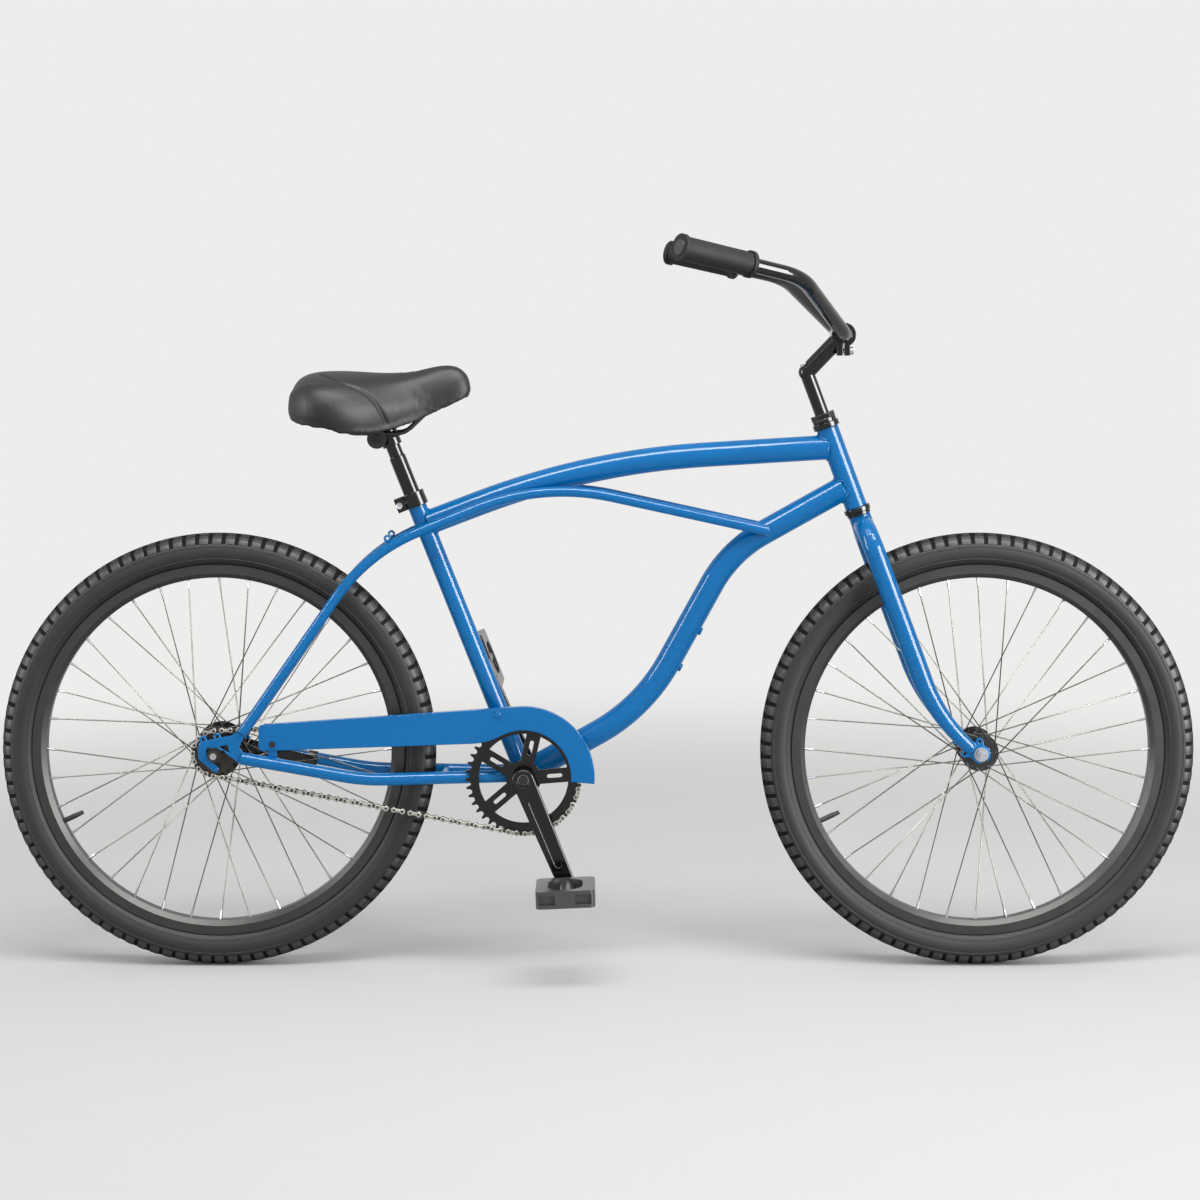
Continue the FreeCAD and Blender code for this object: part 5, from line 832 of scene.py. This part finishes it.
@dataclass
class Drivetrain:
    """Cranks, chainring, sprocket, roller chain and pedals."""

    plated: tuple[str, ...] = ("rear_axle", "rear_hub_bearings", "crank_spindle", "pedal_axles")
    enamelled: tuple[str, ...] = ("right_crank", "left_crank", "chainring")
    black: tuple[str, ...] = ("crank_bolts",)
    oiled: tuple[str, ...] = ("rear_sprocket", "rear_axle_nuts")
    resin: tuple[str, ...] = ("right_pedal", "left_pedal")
    pitch: float = 0.0127
    least_roller_width: float = 0.002
    plate_height: float = 0.0084
    plate_thickness: float = 0.0012
    plate_gap: float = 0.0001
    plate_sides: int = 18
    plate_edge: float = 0.0003
    waist_share: float = 0.46
    waist_cuts: int = 3
    roller_radius: float = 0.0038
    roller_sides: int = 12
    pin_radius: float = 0.0018
    pin_sides: int = 10

    def solids(self) -> list[tuple[Vector, Vector]]:
        """Tell the chain's solids apart.

        Returns:
            The lowest and highest corner of each plate and roller.
        """
        shape = bmesh.new()
        shape.from_mesh(bpy.data.objects["chain"].data)
        bmesh.ops.remove_doubles(shape, verts=shape.verts, dist=MERGE_DISTANCE)
        left = set(shape.verts)
        boxes = []
        while left:
            island = [left.pop()]
            for vert in island:
                fresh = {edge.other_vert(vert) for edge in vert.link_edges} & left
                left -= fresh
                island.extend(fresh)
            low, high = ([pick(vert.co[axis] for vert in island) for axis in range(3)] for pick in (min, max))
            boxes.append((Vector(low), Vector(high)))
        shape.free()
        return boxes

    def roller_places(self) -> list[Vector]:
        """Read where the rollers sit.

        Returns:
            Their middles in order round the chain, starting with the two of an outer link.
        """
        boxes = self.solids()
        near_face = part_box("chain")[0].y + self.plate_thickness / 2
        outer = [(low + high) / 2 for low, high in boxes if low.y < near_face]
        rollers = [(low + high) / 2 for low, high in boxes if high.y - low.y > self.least_roller_width]
        rollers.sort(key=lambda place: (place - outer[0]).length)
        order, left = rollers[:2], rollers[2:]
        while left:
            left.sort(key=lambda place: (place - order[-1]).length)
            order.append(left.pop(0))
        return order

    def plate(self) -> BMesh:
        """Stamp one side plate, round at its ends and narrow at its waist.

        Returns:
            The plate, lying along X with its inner face on the ground plane.
        """
        plate = bmesh.new()
        half = self.pitch / 2
        bmesh.ops.create_circle(plate, cap_ends=True, segments=self.plate_sides, radius=self.plate_height / 2)
        for vert in plate.verts:
            vert.co.x += math.copysign(half, vert.co.x)
        sides = [edge for edge in plate.edges if edge.verts[0].co.x * edge.verts[1].co.x < 0]
        bmesh.ops.subdivide_edges(plate, edges=sides, cuts=self.waist_cuts)
        for vert in plate.verts:
            toward_waist = max(0.0, 1.0 - (vert.co.x / half) ** 2)
            vert.co.y *= 1.0 - (1.0 - self.waist_share) * toward_waist
        grown = bmesh.ops.extrude_face_region(plate, geom=plate.faces[:])
        top = [item for item in grown["geom"] if isinstance(item, bmesh.types.BMVert)]
        bmesh.ops.translate(plate, verts=top, vec=(0, 0, self.plate_thickness))
        bmesh.ops.recalc_face_normals(plate, faces=plate.faces)
        rim = [edge for edge in plate.edges if edge.is_manifold and edge.calc_face_angle() > SMOOTH_ANGLE
               and min(vert.co.z for vert in edge.verts) > self.plate_thickness / 2]
        chamfer(plate, rim, self.plate_edge)
        return plate

    def build_chain(self) -> None:
        """Link the chain: pale outer plates with their pins, and inner plates with their rollers painted
        dark, as oil and as painted shade between the outer plates.
        """
        low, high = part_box("chain")
        middle = ACROSS * ((low.y + high.y) / 2)
        outer_face = (high.y - low.y) / 2 - self.plate_thickness
        faces = (outer_face, outer_face - self.plate_thickness - self.plate_gap)
        links = (bmesh.new(), bmesh.new())
        stamped = self.plate()
        places = self.roller_places()
        for index, (first, second) in enumerate(zip(places, places[1:] + places[:1])):
            kind = index % 2
            along = (second - first).normalized()
            for side in SIDES:
                outward = ACROSS * side
                axes = Matrix((along, outward.cross(along), outward)).transposed().to_4x4()
                centre = (first + second) / 2
                centre.y = middle.y + side * faces[kind]
                plate = stamped.copy()
                bmesh.ops.transform(plate, verts=plate.verts, matrix=Matrix.Translation(centre) @ axes)
                join(links[kind], plate)
            pin = aligned(first, ACROSS)
            turned(links[1], pin, 2 * faces[1], (self.roller_radius, self.roller_radius), self.roller_sides)
            turned(links[0], pin, high.y - low.y, (self.pin_radius, self.pin_radius), self.pin_sides)
        stamped.free()
        outer = new_piece("chain_outer_links", links[0], CHAIN_STEEL, "frame")
        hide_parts("chain")
        # The inner links' dark finish is oil and painted shade for their recess between the outer plates.
        new_piece("chain_inner_links", links[1], OILED_AND_SHADED_STEEL, "frame")

    def build(self) -> None:
        """Dress the drive's nodes and build its chain."""
        dress(ZINC_PLATE, *self.plated)
        dress(BLACK_ENAMEL, *self.enamelled)
        dress(BLACK_STEEL, *self.black)
        dress(OILED_AND_SHADED_STEEL, *self.oiled)
        dress(GREY_RESIN, *self.resin)
        self.build_chain()


@dataclass
class Cockpit:
    """Stem, handlebar and grips."""

    enamelled: tuple[str, ...] = ("stem", "handlebar")
    plated: tuple[str, ...] = ("stem_bolts",)
    rubber: tuple[str, ...] = ("right_grip", "left_grip")
    facing_places: int = 2
    plug_share: float = 0.62
    plug_rise: float = 0.0014
    plug_taper_share: float = 0.92
    plug_sides: int = 40

    def build_plug(self, grip: str) -> None:
        """Close a grip's outer end with a raised plug.

        Args:
            grip: the grip's node.
        """
        faces = bpy.data.objects[grip].data.polygons
        areas: dict[tuple[float, ...], float] = {}
        for face in faces:
            facing = tuple(round(part, self.facing_places) for part in face.normal)
            areas[facing] = areas.get(facing, 0.0) + face.area
        out = Vector(max(areas, key=areas.get)).normalized()
        reach = max(face.center.dot(out) for face in faces)
        end = [face for face in faces if face.center.dot(out) > reach - self.plug_rise]
        area = sum(face.area for face in end)
        middle = sum((face.center * face.area for face in end), Vector()) / area
        radius = math.sqrt(area / math.pi) * self.plug_share
        plug = bmesh.new()
        turned(plug, aligned(middle, out), 2 * self.plug_rise, (radius, radius * self.plug_taper_share),
               self.plug_sides)
        new_piece(grip + "_plug", plug, BLACK_PLASTIC, "bar")

    def build(self) -> None:
        """Dress the stem, the bar and the grips, and plug the grips' ends."""
        dress(BLACK_ENAMEL, *self.enamelled)
        dress(ZINC_PLATE, *self.plated)
        dress(GRIP_RUBBER, *self.rubber)
        for grip in self.rubber:
            self.build_plug(grip)


@dataclass
class Saddle:
    """Post, clamp, rails, pan and the padded cover with its stitched seams."""

    enamelled: tuple[str, ...] = ("seatpost", "saddle_clamp")
    weld_distance: float = 1e-5
    voxel: float = 0.003
    shrink: float = 0.003
    swell_cap: float = 0.006
    pressure: float = 4.0
    frames: int = 20
    floor_slice: float = 0.006
    skirt_held: float = 0.013
    skirt_blend: float = 0.030
    skirt_drop: float = 0.006
    skirt_edge: float = 0.008
    roof_slope: float = 0.5
    hem_radius: float = 0.004
    hem_step: float = 0.006
    hem_probe: float = 0.0003
    smoothings: int = 4
    edge_smoothings: int = 12
    smoothing_share: float = 0.5
    seam: tuple[tuple[float, float], ...] = (
        (-0.420, 0.911), (-0.388, 0.901), (-0.354, 0.888), (-0.337, 0.873), (-0.327, 0.857), (-0.320, 0.838))
    seam_steps: int = 16
    seam_depth: float = 0.0022
    seam_width: float = 0.0035
    stitch_pitch: float = 0.0046
    stitch_length: float = 0.0032
    stitch_radius: float = 0.00055
    stitch_offset: float = 0.0032
    fill: float = 0.9

    def plump(self, cover: bpy.types.Object, held: list[int]) -> None:
        """Inflate the cover over its foam and keep the result.

        Args:
            cover: the slightly small cover.
            held: the vertices that the pan's edge holds.
        """
        cover.vertex_groups.new(name="held").add(held, 1.0, "REPLACE")
        cloth = cover.modifiers.new("foam_pressure", "CLOTH")
        cloth.settings.use_pressure = True
        cloth.settings.uniform_pressure_force = self.pressure
        cloth.settings.vertex_group_mass = "held"
        cloth.settings.effector_weights.gravity = 0.0
        cloth.point_cache.frame_end = self.frames
        for frame in range(1, self.frames + 1):
            bpy.context.scene.frame_set(frame)
        swollen = cover.evaluated_get(bpy.context.evaluated_depsgraph_get()).data
        moves = [after.co - before.co for after, before in zip(swollen.vertices, cover.data.vertices)]
        cover.modifiers.remove(cloth)
        bpy.context.scene.frame_set(1)
        for vert, move in zip(cover.data.vertices, moves):
            vert.co += move * min(1.0, self.swell_cap / max(move.length, self.weld_distance))
        cover.vertex_groups.clear()

    def hem_line(self, tree: BVHTree) -> list[Vector]:
        """Follow the cover's lower edge round.

        Args:
            tree: the plain cover's surface.

        Returns:
            The edge's places, down one side from the nose and back up the other.
        """
        low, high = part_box("saddle_cover")
        slices = round((high.x - low.x) / self.hem_step)
        heights = [low.z + self.hem_probe * step for step in range(round((high.z - low.z) / self.hem_probe))]
        line = []
        for side in SIDES:
            row = []
            for step in range(1, slices):
                x = high.x + (low.x - high.x) * step / slices
                hits = (tree.ray_cast(Vector((x, side, z)), -side * ACROSS)[0] for z in heights)
                row.append(next(hit for hit in hits if hit is not None))
            line += row[::-side]
        return line

    def remeshed(self) -> bpy.types.Mesh:
        """Copy the plain cover, with a hem round its lower edge, as an even skin.

        Returns:
            The remeshed copy.
        """
        shape = bmesh.new()
        shape.from_mesh(bpy.data.objects["saddle_cover"].data)
        bmesh.ops.remove_doubles(shape, verts=shape.verts, dist=self.weld_distance)
        hem = piping("cover_hem", [self.hem_line(BVHTree.FromBMesh(shape))], self.hem_radius, closed=True)
        edging = bpy.data.objects.new("cover_hem", hem)
        shape.from_mesh(edging.to_mesh())
        bpy.data.objects.remove(edging)
        block = linked("cover_block", to_mesh("cover_block", shape))
        remesh = block.modifiers.new("even_skin", "REMESH")
        remesh.mode = "VOXEL"
        remesh.voxel_size = self.voxel
        skin = bpy.data.meshes.new_from_object(block.evaluated_get(bpy.context.evaluated_depsgraph_get()))
        bpy.data.objects.remove(block)
        return skin

    def seam_lines(self, tree: BVHTree) -> list[list[tuple[Vector, Vector]]]:
        """Lay each side's seam on the cover.

        Args:
            tree: the cover's surface.

        Returns:
            For each side the seam's places and the surface's normals there.
        """
        lines = []
        for side in SIDES:
            flat = smooth_line([Vector((x, side, z)) for x, z in self.seam], self.seam_steps)
            hits = [tree.ray_cast(place, -side * ACROSS)[:2] for place in flat]
            lines.append([hit for hit in hits if hit[0] is not None])
        return lines

    def stitch_row(self, shape: BMesh, line: list[tuple[Vector, Vector]], tree: BVHTree,
                   offset: float) -> None:
        """Sew one row of stitches beside a seam.

        Args:
            shape: the bmesh that takes the stitches.
            line: the seam's places and normals.
            tree: the cover's surface.
            offset: how far the row lies from the seam.
        """
        gone = 0.0
        for (place, normal), (ahead, _) in zip(line, line[1:]):
            run = ahead - place
            gone += run.length
            if gone < self.stitch_pitch:
                continue
            gone = 0.0
            beside = place + normal.cross(run).normalized() * offset
            spot = tree.find_nearest(beside)[0]
            size = Matrix.Diagonal((self.stitch_radius, self.stitch_radius, self.stitch_length / 2, 1.0))
            bmesh.ops.create_icosphere(shape, subdivisions=1, radius=1.0, matrix=aligned(spot, run) @ size)

    def rises(self, skin: bpy.types.Mesh) -> list[float]:
        """Measure how far each vertex lies above the skirt's edge below it.

        Args:
            skin: the even skin.

        Returns:
            The height of each vertex above the lowest one in its slice of the length.
        """
        lowest: dict[int, float] = {}
        slices = [round(vert.co.x / self.floor_slice) for vert in skin.vertices]
        for vert, place in zip(skin.vertices, slices):
            lowest[place] = min(vert.co.z, lowest.get(place, vert.co.z))
        return [vert.co.z - lowest[place] for vert, place in zip(skin.vertices, slices)]

    def ease(self, skin: bpy.types.Mesh, rises: list[float]) -> None:
        """Draw the cover in before it swells, and let its skirt hang over the rails.

        Args:
            skin: the even skin.
            rises: each vertex's height above the skirt's edge.
        """
        normals = [vert.normal.copy() for vert in skin.vertices]
        for vert, rise, normal in zip(skin.vertices, rises, normals):
            free = min(1.0, max(0.0, (rise - self.skirt_held) / self.skirt_blend))
            vert.co -= normal * (self.shrink * free)
            if normal.z > -self.roof_slope or rise < self.skirt_held / 2:
                vert.co.z -= self.skirt_drop * max(0.0, 1.0 - rise / self.skirt_blend)

    def pull_seams(self, shape: BMesh, lines: list[list[tuple[Vector, Vector]]]) -> None:
        """Draw the cover in along its seams.

        Args:
            shape: the cover.
            lines: each seam's places and normals.
        """
        middles = [place for line in lines for place, _ in line]
        near = KDTree(len(middles))
        for index, place in enumerate(middles):
            near.insert(place, index)
        near.balance()
        for vert in shape.verts:
            away = near.find(vert.co)[2]
            vert.co -= vert.normal * (self.seam_depth * math.exp(-((away / self.seam_width) ** 2)))
        shape.normal_update()

    def build_cover(self) -> None:
        """Pad the cover: a remeshed skin swollen over its foam, with seams pulled in and sewn."""
        cover = linked("padded_cover", self.remeshed())
        rises = self.rises(cover.data)
        self.ease(cover.data, rises)
        self.plump(cover, [index for index, rise in enumerate(rises) if rise < self.skirt_held])
        shape = bmesh.new()
        shape.from_mesh(cover.data)
        edge = [vert for vert, rise in zip(shape.verts, rises) if rise < self.skirt_edge]
        for verts, rounds in ((shape.verts[:], self.smoothings), (edge, self.edge_smoothings)):
            for _ in range(rounds):
                bmesh.ops.smooth_vert(shape, verts=verts, factor=self.smoothing_share, use_axis_x=True,
                                      use_axis_y=True, use_axis_z=True)
        bmesh.ops.subdivide_edges(shape, edges=shape.edges, cuts=1, use_grid_fill=True, smooth=1.0)
        shape.normal_update()
        lines = self.seam_lines(BVHTree.FromBMesh(shape))
        self.pull_seams(shape, lines)
        surface = BVHTree.FromBMesh(shape)
        stitches = bmesh.new()
        for line in lines:
            for offset in (-self.stitch_offset, self.stitch_offset):
                self.stitch_row(stitches, line, surface, offset)
        bpy.data.objects.remove(cover)
        padded = new_piece("padded_cover", shape, BLACK_VINYL, "saddle")
        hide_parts("saddle_cover")
        new_piece("cover_stitches", stitches, BLACK_THREAD, "saddle")

    def build(self) -> None:
        """Dress the saddle's hard nodes and build its cover."""
        dress(BLACK_ENAMEL, *self.enamelled)
        dress(BLACK_STEEL, "saddle_undercarriage")
        dress(BLACK_PLASTIC, "saddle_base")
        self.build_cover()


class LampUse(Enum):
    """What a lamp is hung for."""

    LIGHT = "lights the object"
    GLOSS = "only shows in glossy surfaces"


@dataclass(frozen=True)
class Lamp:
    """A softbox: where it hangs, its width and height, its power in watts and its use."""

    name: str
    place: tuple[float, float, float]
    size: tuple[float, float]
    power: float
    use: LampUse


@dataclass
class Studio:
    """Pale floor, soft light and the photograph's camera."""

    distance: float = 4.3
    height: float = 1.045
    side: float = 0.018
    field: float = 1.836
    aim_height: float = 0.563
    aim_side: float = 0.0028
    shift_share: float = 0.16
    sensor_mm: float = 36.0
    floor_size: float = 40.0
    fade_start: float = 1.2
    fade_end: float = 3.2
    floor_colour: str = "#E4E4E3"
    floor_roughness: float = 1.0
    floor_specular: float = 0.0
    backdrop_colour: str = "#EDEDEC"
    sky_colour: str = "#FFFFFF"
    sky_strength: float = 0.55
    lamp_target: tuple[float, float, float] = (0.0, 0.0, 0.6)
    lamps: tuple[Lamp, ...] = (
        Lamp("overhead_light", (0.2, -1.2, 3.2), (3.2, 1.0), 52.0, LampUse.LIGHT),
        Lamp("front_light", (2.6, -2.6, 1.6), (1.0, 2.2), 36.0, LampUse.LIGHT),
        Lamp("overhead_gloss", (0.2, -1.4, 3.2), (3.6, 0.8), 200.0, LampUse.GLOSS),
        Lamp("front_gloss", (3.2, -1.9, 1.1), (1.7, 2.4), 350.0, LampUse.GLOSS),
        Lamp("rear_gloss", (-3.2, -0.9, 1.1), (0.8, 2.4), 100.0, LampUse.GLOSS))

    def seen(self, tree: bpy.types.NodeTree) -> bpy.types.NodeSocket:
        """Tell the rays that see the backdrop from those that only carry light.

        Args:
            tree: the node tree that asks.

        Returns:
            1 for a camera, glossy or transmission ray, and 0 otherwise.
        """
        path = add_node(tree, "ShaderNodeLightPath", {})
        eye = add_node(tree, "ShaderNodeMath", {
            0: path.outputs["Is Camera Ray"], 1: path.outputs["Is Glossy Ray"]}, operation="MAXIMUM")
        both = add_node(tree, "ShaderNodeMath", {
            0: eye.outputs["Value"], 1: path.outputs["Is Transmission Ray"]}, operation="MAXIMUM")
        return both.outputs["Value"]

    def floor(self) -> None:
        """Lay the pale floor under the wheels, which fades into the backdrop far from the object."""
        shape = bmesh.new()
        bmesh.ops.create_grid(shape, x_segments=1, y_segments=1, size=self.floor_size / 2)
        material = bpy.data.materials.new("matt_studio_floor")
        material.use_nodes = True
        tree = material.node_tree
        shader = tree.nodes["Principled BSDF"]
        set_inputs(shader, {
            "Base Color": linear(self.floor_colour), "Roughness": self.floor_roughness,
            "Specular IOR Level": self.floor_specular})
        place = add_node(tree, "ShaderNodeTexCoord", {})
        away = add_node(tree, "ShaderNodeVectorMath", {0: place.outputs["Object"]}, operation="LENGTH")
        fade = add_node(tree, "ShaderNodeMapRange", {
            "Value": away.outputs["Value"], "From Min": self.fade_start, "From Max": self.fade_end},
            interpolation_type="SMOOTHSTEP")
        seen = add_node(tree, "ShaderNodeMath", {
            0: fade.outputs["Result"], 1: self.seen(tree)}, operation="MULTIPLY")
        backdrop = add_node(tree, "ShaderNodeEmission", {"Color": linear(self.backdrop_colour)})
        mixed = add_node(tree, "ShaderNodeMixShader", {
            0: seen.outputs["Value"], 1: shader.outputs["BSDF"], 2: backdrop.outputs["Emission"]})
        tree.links.new(mixed.outputs["Shader"], tree.nodes["Material Output"].inputs["Surface"])
        piece = linked("studio_floor", to_mesh("studio_floor", shape))
        piece.data.materials.append(material)

    def sky(self) -> None:
        """Light the room evenly, and show the eye and the mirrors a pale backdrop."""
        world = bpy.data.worlds.new("studio_sky")
        bpy.context.scene.world = world
        world.use_nodes = True
        tree = world.node_tree
        tree.nodes.clear()
        light = add_node(tree, "ShaderNodeBackground", {
            "Color": linear(self.sky_colour), "Strength": self.sky_strength})
        backdrop = add_node(tree, "ShaderNodeBackground", {"Color": linear(self.backdrop_colour)})
        mixed = add_node(tree, "ShaderNodeMixShader", {
            0: self.seen(tree), 1: light.outputs["Background"], 2: backdrop.outputs["Background"]})
        add_node(tree, "ShaderNodeOutputWorld", {"Surface": mixed.outputs["Shader"]})

    def hang(self, lamp: Lamp) -> None:
        """Hang a softbox that faces the object.

        Args:
            lamp: the softbox.
        """
        data = bpy.data.lights.new(lamp.name, "AREA")
        data.shape = "RECTANGLE"
        data.size, data.size_y = lamp.size
        data.energy = lamp.power
        softbox = linked(lamp.name, data)
        place = Vector(lamp.place)
        aim = (Vector(self.lamp_target) - place).to_track_quat("-Z", "Y").to_matrix().to_4x4()
        softbox.matrix_world = Matrix.Translation(place) @ aim
        softbox.visible_diffuse = lamp.use is LampUse.LIGHT

    def camera(self) -> None:
        """Stand the camera where the photograph was taken."""
        data = bpy.data.cameras.new("photo_camera")
        data.sensor_width = self.sensor_mm
        data.lens = self.sensor_mm * self.distance / self.field
        data.shift_y = -self.shift_share
        data.shift_x = (self.aim_side - self.side) / self.field
        fall = math.atan((self.height - self.aim_height) / self.distance)
        pitch = fall - math.atan(self.shift_share * self.field / self.distance)
        camera = linked("photo_camera", data)
        camera.location = (self.side, -self.distance, self.height)
        camera.rotation_euler = (math.pi / 2 - pitch, 0.0, 0.0)
        bpy.context.scene.camera = camera

    def build(self) -> None:
        """Set the stage, the lights and the camera."""
        self.floor()
        self.sky()
        for lamp in self.lamps:
            self.hang(lamp)
        self.camera()
        bpy.context.scene.view_settings.view_transform = "Standard"


def main() -> None:
    """Load the solids and build each sub-assembly."""
    logging.basicConfig(level=logging.INFO, format="%(message)s")
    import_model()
    assemblies = (
        Frame(), Fork(), Wheel("front", flange_diameter=0.058, flange_spacing=0.068),
        Wheel("rear", flange_diameter=0.076, flange_spacing=0.058), Drivetrain(), Cockpit(), Saddle(),
        Studio())
    for assembly in assemblies:
        assembly.build()
        log.info("built: %s", type(assembly).__name__)


if __name__ == "__main__":
    main()
